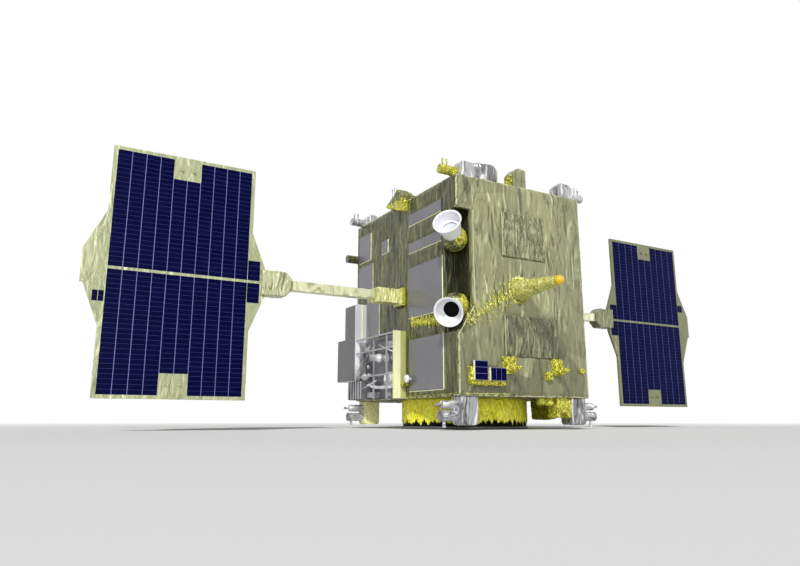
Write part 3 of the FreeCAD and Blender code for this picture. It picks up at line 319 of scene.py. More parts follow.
# silver_shade is a darker copy of silver, for the clusters at the right and the roof drum: painted shade
for name, colours in (
    ("silver", (srgb(252, 252, 254), srgb(180, 180, 184), srgb(94, 94, 100))),
    ("silver_shade", (srgb(198, 198, 200), srgb(128, 128, 131), srgb(66, 66, 71))),
):
    blanket(name, *colours, 19.0, (1, 1, 0.24), 0.7, 0.3, gain=4.2, plane=0.4)
blanket("nozzle", srgb(250, 250, 252), srgb(184, 184, 190), srgb(112, 111, 120), 26.0, (0.22, 1, 1), 0.5, 0.3,
        gain=3.6, plane=0.3)
coated("nozzle_end", srgb(132, 130, 140), 0.35, 0.3, 0.2)
coated("chrome", srgb(222, 222, 226), 0.2, 0.45, 0.1)
coated("light_metal", srgb(172, 172, 174), 0.4, 0.4, 0.1)
coated("rail", srgb(222, 223, 225), 0.35, 0.3, 0.06)
coated("dark_metal", srgb(88, 88, 92), 0.42, 0.4, 0.12)
coated("black", srgb(8, 8, 9), 0.7, 0.0, 0.2, Specular_IOR_Level=0.1)
tiled("radiator", srgb(122, 121, 126), srgb(117, 116, 121))
tiled("sun_shade", srgb(97, 97, 99), srgb(93, 93, 95))
tiled("bay_plate", srgb(104, 104, 109), srgb(98, 98, 103), 0.06)
coated("edge", PALE_YELLOW, 0.5, 0.1, 0.08)
coated("tape", srgb(188, 191, 148), 0.4, 0.1, 0.1)
for name, colours in (
    ("pale", (srgb(250, 252, 214), PALE_YELLOW, srgb(214, 217, 160))),
    ("pale_green", (srgb(198, 200, 132), srgb(184, 186, 116), srgb(150, 152, 86))),
):
    blanket(name, *colours, 9.0, (1, 1, 0.15), 0.3, 0.0, 0.4, 1.0, 0.2, 0.12)
coated("white", srgb(238, 238, 241), 0.45, 0.0, 0.03)
coated("white_inside", srgb(206, 207, 212), 0.5, 0.0, 0.04)
coated("orange", srgb(226, 183, 0), 0.25, 0.0, 0.08, 40, 0.05, Coat_Weight=0.5)
# sheet_shade is a darker copy of sheet, for the right wing's panel: painted shade
for name, colours, down in (
    ("sheet", (srgb(216, 220, 190), srgb(172, 176, 137), srgb(144, 147, 108)), 0.4),
    ("sheet_shade", (srgb(160, 163, 130), srgb(126, 129, 96), srgb(94, 96, 68)), 0.3),
):
    blanket(name, *colours, 20.0, (1, 1, down), 0.6, 0.2, 0.25, 2.0, 0.3, 0.25)
cell_glass("cell", srgb(1, 4, 49), srgb(6, 9, 59))
coated("cell_line", srgb(124, 125, 184), 0.4, 0.3, 0.08, Specular_IOR_Level=0.1)
coated("row_line", srgb(52, 54, 106), 0.4, 0.2, 0.08, Specular_IOR_Level=0.1)

# The CAD nodes that stay, or stand under a film, by finish
for finish, nodes in {
    "front": "front_wall blanket_patches",
    "back": "back_wall",
    "roof": "roof_panel",
    "side": "left_wall right_wall side_eye",
    "under": "floor_panel",
    "lining": "recess_lining",
    "boom": "left_boom right_boom",
    "root": "left_root right_root",
    "dark_metal": "adapter_ring engine_deck",
    "gold_skirt": "ring_skirt ring_liner",
    "light_metal": "main_engine bay_frame tank_block",
    "radiator": "radiators_left radiators_right radiators_back_left ribbed_box",
    "sun_shade": "bay_boxes",
    "white": "baffle_lower baffle_upper dish_antenna",
    "orange": "low_gain_dome",
    "gold": "sun_eyes",
    "pale": "bay_wall_front",
    "rail": "bay_wall_back",
    "chrome": "bay_cameras",
    "sheet": "left_panel",
    # The right wing's panel takes the darker copy of the sheet film: painted shade
    "sheet_shade": "right_panel",
    "row_line": "left_cells right_cells",
    "cell_line": "cell_coupons",
    "nozzle": "thrusters_front_left thrusters_front_right thrusters_back_left thrusters_back_right",
}.items():
    for node in nodes.split():
        NODES[node].data.materials.clear()
        NODES[node].data.materials.append(MATERIALS[finish])


# Meshes

def made(name, work, material, smooth=True, body="spacecraft", node=None):
    """A mesh as a piece that rides on a body, and that stands for a CAD node where one is named."""
    data = bpy.data.meshes.new(name)
    work.to_mesh(data)
    work.free()
    item = bpy.data.objects.new(name, data)
    bpy.context.scene.collection.objects.link(item)
    data.materials.append(MATERIALS[material])
    for face in data.polygons:
        face.use_smooth = smooth
    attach(item, body)
    if node:
        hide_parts(node)


def crush(point, scale, seed):
    """Signed crumple at a point, about -1 to 1: ridged folds of falling size."""
    total, size, share = 0.0, scale, 1.0
    for turn in range(3):
        spot = Vector((point.x * size + seed * 3.7, point.y * size - seed * 1.9, point.z * size + turn * 5.1))
        total += share * (1 - 2 * abs(noise.noise(spot)) * 2)
        size *= 2.1
        share *= 0.55
    return total / 1.9


def wrapped(node, material, depth, cell, scale=16.0, seed=1, stretch=(1, 1, 1), within=None,
            mark="film", shape=None):
    """Film round a CAD piece, or round a shape in its place: a fine mesh crumpled in and out by depth."""
    if shape is None:
        data = NODES[node].data.copy()
    else:
        data = bpy.data.meshes.new(node)
        shape.to_mesh(data)
        shape.free()
    item = bpy.data.objects.new(f"{node}_{mark}", data)
    bpy.context.scene.collection.objects.link(item)
    remesh = item.modifiers.new("even", "REMESH")
    remesh.mode = "VOXEL"
    remesh.voxel_size = cell
    graph = bpy.context.evaluated_depsgraph_get()
    fine = bpy.data.meshes.new_from_object(item.evaluated_get(graph))
    bpy.data.objects.remove(item)
    fine.materials.clear()
    work = bmesh.new()
    work.from_mesh(fine)
    if within:
        low, high = within
        outside = [vertex for vertex in work.verts
                   if any(not low[axis] - cell < vertex.co[axis] < high[axis] + cell for axis in range(3))]
        bmesh.ops.delete(work, geom=outside, context="VERTS")
    work.normal_update()
    for vertex, normal in [(vertex, vertex.normal.copy()) for vertex in work.verts]:
        spot = Vector(value * share for value, share in zip(vertex.co, stretch))
        vertex.co += normal * (crush(spot, scale, seed) * depth)
    body = next(name for name, members in frame["record"]["behaviour"]["bodies"].items() if node in members)
    made(f"{node}_{mark}", work, material, False, body, node)


def islands(node):
    """The lowest and highest corners of each separate solid in a node."""
    data = NODES[node].data
    group = list(range(len(data.vertices)))

    def root(at):
        while group[at] != at:
            group[at] = group[group[at]]
            at = group[at]
        return at

    spots = {}
    for vertex in data.vertices:
        key = tuple(round(value, 5) for value in vertex.co)
        group[root(vertex.index)] = root(spots.setdefault(key, vertex.index))
    for edge in data.edges:
        group[root(edge.vertices[0])] = root(edge.vertices[1])
    found = {}
    for vertex in data.vertices:
        low, high = found.setdefault(root(vertex.index), (vertex.co.copy(), vertex.co.copy()))
        for axis in range(3):
            low[axis] = min(low[axis], vertex.co[axis])
            high[axis] = max(high[axis], vertex.co[axis])
    return sorted(found.values(), key=lambda pair: tuple(pair[0]))


def skin(work, rows, closed=True):
    """Faces between each row of points and the next, and round each row that is closed."""
    count = len(rows[0])
    for first, second in zip(rows, rows[1:]):
        for at in range(count if closed else count - 1):
            ahead = (at + 1) % count
            work.faces.new((first[at], first[ahead], second[ahead], second[at]))


def circle(count, aside, across):
    """Even directions all round, from aside towards across."""
    angles = [2 * math.pi * turn / count for turn in range(count)]
    return [aside * math.cos(angle) + across * math.sin(angle) for angle in angles]


def hanging(name, wall, corner, width, height, material, seed, cell=0.0085, depth=0.013, fold=24.0, tall=0.3,
            flat=()):
    """A blanket over a wall: a fine sheet in long folds that runs down to the wall at its rim and at the
    boxes in flat, which are (low, high) corners."""
    across, up, out = WALLS[wall]
    corner = Vector(corner)
    spans = [[(spot - corner).dot(way) for way in (across, up) for spot in box] for box in flat]
    columns, rows = max(2, round(width / cell)), max(2, round(height / cell))
    work = bmesh.new()
    grid = []
    for row in range(rows + 1):
        line = []
        for column in range(columns + 1):
            u, v = width * column / columns, height * row / rows
            rim = min(u, width - u, v, height - v) / 0.03
            for left, right, foot, top in spans:
                gap = max(left - u, u - right, foot - v, v - top)
                rim = min(rim, max(0.0, gap) / 0.025)
            rim = min(1.0, rim)
            run = u + 0.045 * noise.noise(Vector((u * 2.5, v * 5, seed)))
            lift = noise.noise(Vector((run * fold, v * tall * fold, seed)))
            ripple = noise.noise(Vector((run * fold * 2.2, v * tall * fold * 2.6, seed + 4)))
            crease = crush(Vector((run, v * tall, 0)), fold * 0.8, seed)
            rise = 0.0008 + rim * depth * min(1.0, max(0.0, 0.5 + 0.55 * lift + 0.2 * ripple + 0.12 * crease))
            line.append(work.verts.new(corner + across * u + up * v + out * rise))
        grid.append(line)
    skin(work, grid, closed=False)
    work.normal_update()
    work.faces.ensure_lookup_table()
    if work.faces[0].normal.dot(out) < 0:
        bmesh.ops.reverse_faces(work, faces=work.faces)
    made(name, work, material)


def slab(work, low, high, bevel):
    """A box between two corners, with its edges cut by bevel."""
    low, high = Vector(low), Vector(high)
    block = bmesh.ops.create_cube(work, size=1)["verts"]
    for vertex in block:
        vertex.co = [low[axis] + (high[axis] - low[axis]) * (vertex.co[axis] + 0.5) for axis in range(3)]
    if bevel:
        edges = {edge for vertex in block for edge in vertex.link_edges}
        bmesh.ops.bevel(work, geom=list(edges), offset=bevel, segments=1, affect="EDGES")


def prism(work, corners, start, end):
    """A block along X, from start to end, with its section given as (y, z) corners."""
    rings = [[work.verts.new((x, y, z)) for y, z in corners] for x in (start, end)]
    work.faces.new(rings[0])
    work.faces.new(rings[1][::-1])
    skin(work, rings)
    bmesh.ops.recalc_face_normals(work, faces=work.faces)


def lathe(work, centre, axis, profile, segments, size=(1, 1)):
    """A turned shape: profile is (radius, distance along the axis) pairs from centre, times size."""
    axis = Vector(axis).normalized()
    aside = axis.orthogonal().normalized()
    ways = circle(segments, aside, axis.cross(aside))
    rings = []
    for radius, along in profile:
        spot, reach = Vector(centre) + axis * (along * size[1]), max(radius * size[0], 1e-5)
        rings.append([work.verts.new(spot + way * reach) for way in ways])
    skin(work, rings)


def turned(name, centre, axis, profile, segments, material, smooth=True, node=None, size=(1, 1)):
    """A piece of one turned shape."""
    work = bmesh.new()
    lathe(work, centre, axis, profile, segments, size)
    made(name, work, material, smooth, node=node)


def blocks(name, boxes, bevel, material, body="spacecraft", node=None):
    """A piece of boxes, each given by its low and high corners."""
    work = bmesh.new()
    for low, high in boxes:
        slab(work, low, high, bevel)
    made(name, work, material, False, body, node)


def tube(work, start, end, radius, segments):
    start, end = Vector(start), Vector(end)
    length = (end - start).length
    lathe(work, start, end - start, [(0, 0), (radius, 0), (radius, length), (0, length)], segments)


def spokes(work, centre, count, radius, size, along):
    """Blocks in a ring about the Y axis through centre: size is across, along Y and outward."""
    for at in range(count):
        turn = Matrix.Translation(centre) @ Matrix.Rotation(2 * math.pi * at / count, 4, "Y")
        spot = Matrix.Translation((0, along, radius)) @ Matrix.Diagonal((*size, 1))
        bmesh.ops.create_cube(work, size=1, matrix=turn @ spot)


def soft_tube(work, points, radius, swell, around=12):
    """A wrapped run through points: a tube whose film swells and sinks."""
    step = 0.012
    points = [Vector(point) for point in points]
    rings = []
    for start, end in zip(points, points[1:]):
        along = (end - start).normalized()
        aside = along.orthogonal().normalized()
        ways = circle(around, aside, along.cross(aside))
        count = max(2, round((end - start).length / step))
        for at in range(count + (end == points[-1])):
            spot = start.lerp(end, at / count)
            rings.append([work.verts.new(spot + way * (radius + swell * crush(spot + way * 0.02, 30, 61)))
                          for way in ways])
    skin(work, rings)
    work.faces.new(rings[0][::-1])
    work.faces.new(rings[-1])


def bead(name, points, width, material, out=-Y, wobble=0.0012):
    """A narrow raised edge strip that runs through points on a flat wall."""
    work = bmesh.new()
    points = [Vector(point) for point in points]
    for start, end in zip(points, points[1:]):
        side = (end - start).normalized().cross(out).normalized()
        steps = max(2, round((end - start).length / 0.012))
        rows = []
        for step in range(steps + 1):
            spot = start.lerp(end, step / steps)
            lift = out * (0.5 * width + wobble * crush(spot, 40, 51))
            drift = side * (wobble * crush(spot, 30, 52))
            rows.append([work.verts.new(spot + side * (width / 2 * share) + lift * rise + drift)
                         for share, rise in ((-1, 0), (-0.6, 1), (0.6, 1), (1, 0))])
        skin(work, rows, closed=False)
    bmesh.ops.recalc_face_normals(work, faces=work.faces)
    made(name, work, material, False)


# The blankets on the body

# Where tape seams pull the unseen blankets down: the sheet's corner, and the ends of each seam on the sheet
SEAMS = {
    "back": ((LEFT, BACK, BOTTOM), (((0.03, 0.14), (1.02, 0.14)), ((0.03, 1.27), (1.02, 1.27)))),
    "right": ((RIGHT, FRONT, BOTTOM), (((0.74, 0.03), (0.74, 1.37)), ((1.16, 0.03), (1.16, 1.37)),
                                       ((0.74, 0.40), (1.39, 0.40)))),
    "roof": ((LEFT, FRONT, ROOF_TOP), (((0.03, 0.42), (1.02, 0.42)), ((0.03, 1.08), (1.02, 1.08)),
                                       ((0.30, 0.03), (0.30, 1.39)))),
}


def seam_runs(wall):
    """The two ends of each seam of a wall."""
    across, up, _ = WALLS[wall]
    corner, runs = SEAMS[wall]
    return [[Vector(corner) + across * u + up * v for u, v in run] for run in runs]


def body_blankets():
    wide, deep, tall = RIGHT - LEFT, BACK - FRONT, ROOF_TOP - BOTTOM
    recess_low, recess_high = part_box("recess_lining")
    side, low_edge, high_edge = recess_high.x + 0.004, recess_low.z - 0.004, recess_high.z + 0.004
    patches = islands("blanket_patches")
    plates = islands("radiators_left") + islands("radiators_back_left")
    plates += [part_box(node) for node in ("left_root", "bay_wall_back", "bay_boxes")]
    plates.append((Vector((LEFT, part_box("bay_wall_front")[0].y, BOTTOM)),
                   Vector((LEFT, BACK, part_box("bay_frame")[1].z))))
    # The front and the left wall are in three sheets round the recess
    for name, wall, corner, width, height, seed, flat in (
        ("front_blanket_right", "front", (side, FRONT, BOTTOM), RIGHT - side, tall, 3, patches),
        ("front_blanket_top", "front", (LEFT, FRONT, high_edge), side - LEFT, ROOF_TOP - high_edge, 4, ()),
        ("front_blanket_low", "front", (LEFT, FRONT, BOTTOM), side - LEFT, low_edge - BOTTOM, 5, ()),
    ):
        hanging(name, wall, corner, width, height, "front", seed, fold=18, tall=0.25, flat=flat)
    inner = recess_high.y + 0.004
    for name, start, foot, length, height, seed in (
        ("left_blanket", inner, BOTTOM, BACK - inner, tall, 6),
        ("left_blanket_top", FRONT, high_edge, inner - FRONT, ROOF_TOP - high_edge, 7),
        ("left_blanket_low", FRONT, BOTTOM, inner - FRONT, low_edge - BOTTOM, 8),
    ):
        hanging(name, "left", (LEFT, start, foot), length, height, "side", seed, flat=plates)
    hanging("right_blanket", "right", (RIGHT, FRONT, BOTTOM), deep, tall, "side", 9,
            flat=islands("radiators_right") + seam_runs("right"))
    hanging("back_blanket", "back", (LEFT, BACK, BOTTOM), wide, tall, "back", 10, flat=seam_runs("back"))
    hanging("roof_blanket", "roof", (LEFT, FRONT, ROOF_TOP), wide, deep, "roof", 11, depth=0.007, fold=14,
            tall=0.6, flat=seam_runs("roof"))
    hanging("floor_blanket", "floor", (LEFT, FRONT, BOTTOM), wide, deep, "under", 12, tall=0.6)
    for at, (low, high) in enumerate(patches):
        # Patches below the arms take the darker copy of the patch film: painted shade
        material = "patch" if low.z > AXIS else "patch_painted_shade"
        hanging(f"patch_blanket_{at}", "front", low, high.x - low.x, high.z - low.z, material, 13 + at,
                cell=0.008, depth=0.006, fold=22, tall=0.35)


def seams():
    """The tape and the tie-down buttons along the seams of the unseen blankets."""
    lift, pitch = 0.0014, 0.13
    buttons = bmesh.new()
    for wall in SEAMS:
        out = WALLS[wall][2]
        for at, run in enumerate(seam_runs(wall)):
            start, end = (spot + out * lift for spot in run)
            bead(f"{wall}_seam_{at}", [start, end], 0.012, "tape", out)
            count = round((end - start).length / pitch)
            for step in range(count):
                lathe(buttons, start.lerp(end, (step + 0.5) / count) + out * 0.006, out,
                      [(0.010, 0), (0.010, 0.002), (0.007, 0.004), (0, 0.004)], 20)
    made("tie_downs", buttons, "rail")


def edge_rolls():
    """The rounded edges of the blankets: a soft roll of film along each edge of the body."""
    sink, radius, swell = 0.0045, 0.0065, 0.0025
    left, right, front, back = LEFT + sink, RIGHT - sink, FRONT + sink, BACK - sink
    foot, top = BOTTOM + sink, ROOF_TOP - sink
    recess_low, recess_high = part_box("recess_lining")
    uprights = [(left, front, foot, recess_low.z), (left, front, recess_high.z, top)]
    uprights += [(x, y, foot, top) for x, y in ((right, front), (right, back), (left, back))]
    work = bmesh.new()
    for x, y, start, end in uprights:
        soft_tube(work, [(x, y, start), (x, y, end)], radius, swell)
    for z in (foot, top):
        ring = [(left, front, z), (right, front, z), (right, back, z), (left, back, z), (left, front, z)]
        for run in zip(ring, ring[1:]):
            soft_tube(work, run, radius, swell)
    made("blanket_edges", work, "tape")


def films():
    clusters = "cluster_front_left", "cluster_front_right", "cluster_back_right"
    # The two clusters at the right take the darker copy of silver: painted shade
    for at, (node, material) in enumerate(zip(clusters, ("silver", "silver_shade", "silver_shade"))):
        wrapped(node, material, 0.002, 0.0065, 14, 20 + at, (1, 1, 0.35))
    # The cluster at the back left takes the brighter copy of the pale gold: painted light
    wrapped("cluster_back_left", "gold_painted_light", 0.0015, 0.0065, 30, 24)
    wrapped("valve_box", "gold", 0.004, 0.006, seed=25)
    wrapped("floor_boxes", "gold", 0.005, 0.007, seed=26)
    wrapped("coupon_box", "gold", 0.006, 0.005, 20, 27)
    wrapped("horn_sensors", "gold", 0.008, 0.004, 30, 28)
    wrapped("low_gain_cone", "gold_pale", 0.004, 0.006, 26, 29)
    # The drum takes the darker copy of silver: painted shade
    wrapped("roof_drum", "silver_shade", 0.003, 0.01, 9, 31, (1, 1, 0.4))
    for at, box in enumerate(islands("roof_boxes")):
        wrapped("roof_boxes", "back" if at == 2 else "silver", 0.002, 0.005, 14, 32 + at,
                within=box, mark=f"film_{at}")
    for at, box in enumerate(islands("roof_thrusters")):
        wrapped("roof_thrusters", "gold" if at == 0 else "silver", 0.002, 0.0045, 24, 33, within=box,
                mark=f"film_{at}")
    edge_hood()
    # The right drive takes the darker copy: painted shade
    for side, material in (("left", "drive"), ("right", "drive_shade")):
        wrapped(side + "_drive", material, 0.003, 0.007, 14, 36)


def edge_hood():
    """The peaked cover on the left edge of the roof, its gold flap over the wall and its two pins."""
    low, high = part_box("edge_hood")
    front, back = low.y, high.y
    work = bmesh.new()
    prism(work, [(front, ROOF_TOP), (back, ROOF_TOP), (back, ROOF_TOP + 0.02), (0.02, ROOF_TOP + 0.062),
                 (-0.034, ROOF_TOP + 0.1), (front, ROOF_TOP + 0.035)], low.x + 0.003, high.x)
    wrapped("edge_hood", "gold_olive", 0.005, 0.005, 20, 30, shape=work, mark="cover")
    work = bmesh.new()
    prism(work, [(front, low.z), (front + 0.06, low.z + 0.016), (back - 0.01, ROOF_TOP - 0.006),
                 (back, ROOF_TOP + 0.016), (front, ROOF_TOP + 0.012)], low.x, LEFT - 0.001)
    wrapped("edge_hood", "gold", 0.005, 0.005, 22, 37, shape=work, mark="flap")
    work = bmesh.new()
    for y in (0.03, 0.065):
        foot, top = (LEFT - 0.035, y, ROOF_TOP + 0.03), (LEFT - 0.035, y, high.z - 0.0005)
        tube(work, foot, top, 0.0035, 12)
        lathe(work, top, -Z, [(0, 0), (0.0046, 0), (0.0046, 0.008), (0.0035, 0.009)], 16)
    made("edge_pins", work, "light_metal", node="edge_hood")


# Loose gold film on the walls, and gold flakes as painted reflections of the cone and the left arm's root

def slivers(name, count, place, out, long, wide, seed, material="gold_pale"):
    """Small flakes on a wall, shaped like torn film; some are painted reflections. place(share, jitter) gives
    the middle and the run of each.
    """
    work = bmesh.new()
    for at in range(count):
        share = (at + 0.5) / count
        jitter = Vector((noise.noise(Vector((at * 1.31, seed, 0))), noise.noise(Vector((at * 0.77, seed, 5))),
                         noise.noise(Vector((at * 2.13, seed, 9)))))
        middle, along = (Vector(value) for value in place(share, jitter))
        along = (along + jitter.yzx * 0.35).normalized()
        along = (along - out * along.dot(out)).normalized()
        side = along.cross(out)
        half = along * (long * (0.45 + 0.8 * abs(jitter.x)))
        thin = side * (wide * (0.5 + abs(jitter.z)))
        tips = [middle - half, middle - thin, middle + half, middle + thin * 0.6]
        base = [work.verts.new(tip + out * 0.0006) for tip in tips]
        crest = work.verts.new(middle + out * (0.004 + 0.006 * abs(jitter.y)) + thin * 0.3)
        for first, second in zip(base, base[1:] + base[:1]):
            work.faces.new((first, second, crest))
    bmesh.ops.recalc_face_normals(work, faces=work.faces)
    made(name, work, material, False)


def loose_film():
    """Flakes below the cone and the left arm's root, painted as reflections of them in the blankets; flakes
    round the small boxes and at the foot of the walls.
    """
    def along_cone_reflection(share, jitter):
        z = 0.86 - 0.20 * share + (0.12 - 0.05 * share) * jitter.y * 1.6
        return (-0.12 - 0.35 * share + 0.02 * jitter.x, FRONT - 0.011, z), (-0.25, 0, 1)

    def along_root_reflection(share, jitter):
        y = -0.16 - 0.50 * share + 0.02 * jitter.x
        return (LEFT - 0.011, y, 0.712 - 0.045 * share + 0.05 * jitter.y), (0, -0.04, 1)

    box_low, box_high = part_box("coupon_box")

    def by_coupons(share, jitter):
        x = box_low.x + (box_high.x - box_low.x) * share
        return (x, box_low.y - 0.004, box_low.z + 0.004 + 0.02 * jitter.y), (0.9, 0, 0.5 * jitter.x)

    cone_low, cone_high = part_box("low_gain_cone")
    centre = Vector(((cone_low.x + cone_high.x) / 2, FRONT - 0.012, (cone_low.z + cone_high.z) / 2))

    def round_cone(share, jitter):
        angle = 2 * math.pi * share
        way = X * math.cos(angle) + Z * math.sin(angle)
        return centre + way * (0.082 + 0.02 * jitter.x), way

    low, high = islands("roof_boxes")[2]

    def on_box(share, jitter):
        y = low.y + (high.y - low.y) * (0.12 + 0.76 * share)
        return (low.x - 0.003, y, low.z + 0.055 + 0.075 * jitter.y), (0, 0.3 * jitter.x, 1)

    def by_low_front(share, jitter):
        return (LEFT + 0.02 + 0.36 * share, FRONT - 0.004, BOTTOM + 0.012 + 0.01 * jitter.y), (1, 0, 0.2)

    def by_low_side(share, jitter):
        return (LEFT - 0.004, FRONT + 0.02 + 0.6 * share, BOTTOM + 0.012 + 0.01 * jitter.y), (0, 1, 0.2)

    # Gold flakes below the cone and the left arm's root: painted reflections of the cone and the root
    slivers("cone_reflection_flakes", 190, along_cone_reflection, -Y, 0.020, 0.0042, 81, "gold")
    slivers("cone_reflection_flakes_pale", 90, along_cone_reflection, -Y, 0.024, 0.005, 83)
    slivers("root_reflection_flakes", 240, along_root_reflection, -X, 0.030, 0.0045, 85, "gold")
    slivers("root_reflection_flakes_pale", 110, along_root_reflection, -X, 0.032, 0.0045, 87)
    slivers("coupon_fringe", 60, by_coupons, -Y, 0.022, 0.007, 89, "gold")
    slivers("cone_collar", 64, round_cone, -Y, 0.030, 0.009, 95)
    slivers("roof_box_film", 46, on_box, -X, 0.024, 0.012, 97, "gold")
    slivers("low_front_flakes", 40, by_low_front, -Y, 0.014, 0.006, 99)
    slivers("low_side_flakes", 46, by_low_side, -X, 0.014, 0.006, 101)


# The ring: crinkled skirt with a torn lower edge over a black sleeve, painted shade in the gap behind it

def ring_film():
    low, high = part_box("ring_skirt")
    outer, inner = high.x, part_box("adapter_ring")[1].x
    columns, rows, torn = 620, 26, 0.07
    work = bmesh.new()
    grid = []
    for way in circle(columns, X, Y):
        spike = 0.5 + 0.5 * noise.noise(way * 17) + 0.9 * abs(noise.noise(way * 46 + Vector((3, 1, 7))))
        foot = low.z + 0.009 + torn * min(1.0, max(0.0, spike * 0.9 - 0.2))
        line = []
        for row in range(rows + 1):
            up = row / rows
            z = foot + (high.z - 0.001 - foot) * up
            spot = way * outer + Z * (z * 0.45)
            push = 0.0032 * crush(spot, 26, 41) + 0.0024 * crush(spot, 70, 42)
            line.append(work.verts.new(way * (outer - 0.007 + push * min(1, 8 * (1 - up) + 0.2)) + Z * z))
        grid.append(line)
    skin(work, list(zip(*grid)))
    made("ring_skirt_film", work, "gold_skirt", False, node="ring_skirt")
    # A black sleeve on the ring behind the skirt: painted shade in the gap
    turned("ring_gap_shade", (0, 0, 0), Z, [
        (inner + 0.0006, 0.016), (inner + 0.0012, 0.02), (inner + 0.0012, 0.135), (inner + 0.0006, 0.14)],
        160, "black")
    turned("ring_flange_lip", (0, 0, 0), Z, [
        (inner + 0.0005, 0.0012), (outer - 0.003, 0.0012), (outer, 0.004), (outer, 0.017),
        (outer - 0.003, 0.02), (inner + 0.0005, 0.02)], 160, "dark_metal")


def skirt_reflection_film():
    """The crinkled gold film under the floor that reaches out round the top of the ring: a painted reflection
    of the gold skirt in the floor blanket.
    """
    inner, outer, around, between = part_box("ring_skirt")[1].x + 0.001, 0.52, 260, 8
    work = bmesh.new()
    rows = []
    for way in circle(around, X, Y):
        edge = outer - 0.03 * abs(noise.noise(way * 9))
        row = []
        for step in range(between + 1):
            share = step / between
            spot = way * (inner + (edge - inner) * share)
            drop = 0.001 + 0.011 * math.sin(math.pi * share) * (0.5 + 0.5 * crush(spot, 24, 111))
            row.append(work.verts.new(spot + Z * (BOTTOM - drop)))
        rows.append(row)
    skin(work, rows + rows[:1], closed=False)
    made("skirt_reflection_film", work, "gold", False)


# Star trackers

def tracker_wrap(name, seat, look):
    """The film behind a baffle: olive as a painted reflection of the recess, gold on its open side and its
    tail.
    """
    aside = look.orthogonal().normalized()
    ways = circle(84, aside, look.cross(aside))
    profile = [(0.059, 0.004), (0.066, -0.008), (0.077, -0.030), (0.080, -0.058), (0.074, -0.088),
               (0.058, -0.114), (0.034, -0.130), (0.0, -0.134)]
    between = 6
    rings = []
    work = bmesh.new()
    for (first, start), (second, end) in zip(profile, profile[1:]):
        for step in range(between):
            share = step / between
            radius, along = first + (second - first) * share, start + (end - start) * share
            ring = []
            for way in ways:
                spot = seat + look * along + way * radius
                swell = 0.0055 * crush(spot, 17, 91) + 0.002 * crush(spot, 50, 92)
                ring.append(work.verts.new(spot + way * swell * min(1, radius / 0.03)))
            rings.append(ring)
    skin(work, rings)
    bmesh.ops.recalc_face_normals(work, faces=work.faces)
    open_side, tail = Vector((0.8, -0.6, 0)), -0.094
    # The olive faces are a painted reflection of the recess; those on the open side and the tail are gold
    for mark, piece, material in (("bowl", work, "gold_olive"), ("gold", work.copy(), "gold")):
        away = []
        for face in piece.faces:
            spot = face.calc_center_median()
            along = (spot - seat).dot(look)
            way = (spot - seat - look * along).normalized()
            is_gold = way.dot(open_side) + 0.35 * crush(spot, 20, 93) > 0.5 or along < tail
            if is_gold != (mark == "gold"):
                away.append(face)
        bmesh.ops.delete(piece, geom=away, context="FACES")
        made(f"tracker_{name}_{mark}", piece, material, False, node=f"tracker_{name}")
    middle = seat + Vector((0.082, 0.042, math.copysign(0.045, -look.z)))
    half = Vector((0.0305, 0.031, 0.031))
    blocks(f"tracker_{name}_bracket", [(middle - half, middle + half)], 0.003, "lining",
           node=f"tracker_{name}")


def trackers():
    turn, mouth = math.radians(38.6), 0.115
    for name, degrees, height, lens in (("lower", -24, BOTTOM + 0.537, "black"),
                                        ("upper", 24, ROOF_TOP - 0.387, "white_inside")):
        tilt = math.radians(degrees)
        look = Vector((-math.cos(tilt) * math.cos(turn), -math.cos(tilt) * math.sin(turn), math.sin(tilt)))
        seat = Vector((LEFT - 0.003, FRONT + 0.046, height))
        turned(f"tracker_lens_{name}", seat, look, [
            (0.0, 0.034), (0.0565, 0.034), (0.0585, 0.045), (0.052, 0.0405), (0.0, 0.0395)],
            48, lens)
        tracker_wrap(name, seat, look)
        turned(f"baffle_rim_{name}", seat + look * mouth, look, [
            (0.0815, -0.004), (0.0865, -0.004), (0.0925, 0.0005), (0.0930, 0.003), (0.0905, 0.0035),
            (0.0825, -0.0005)], 72, "white")


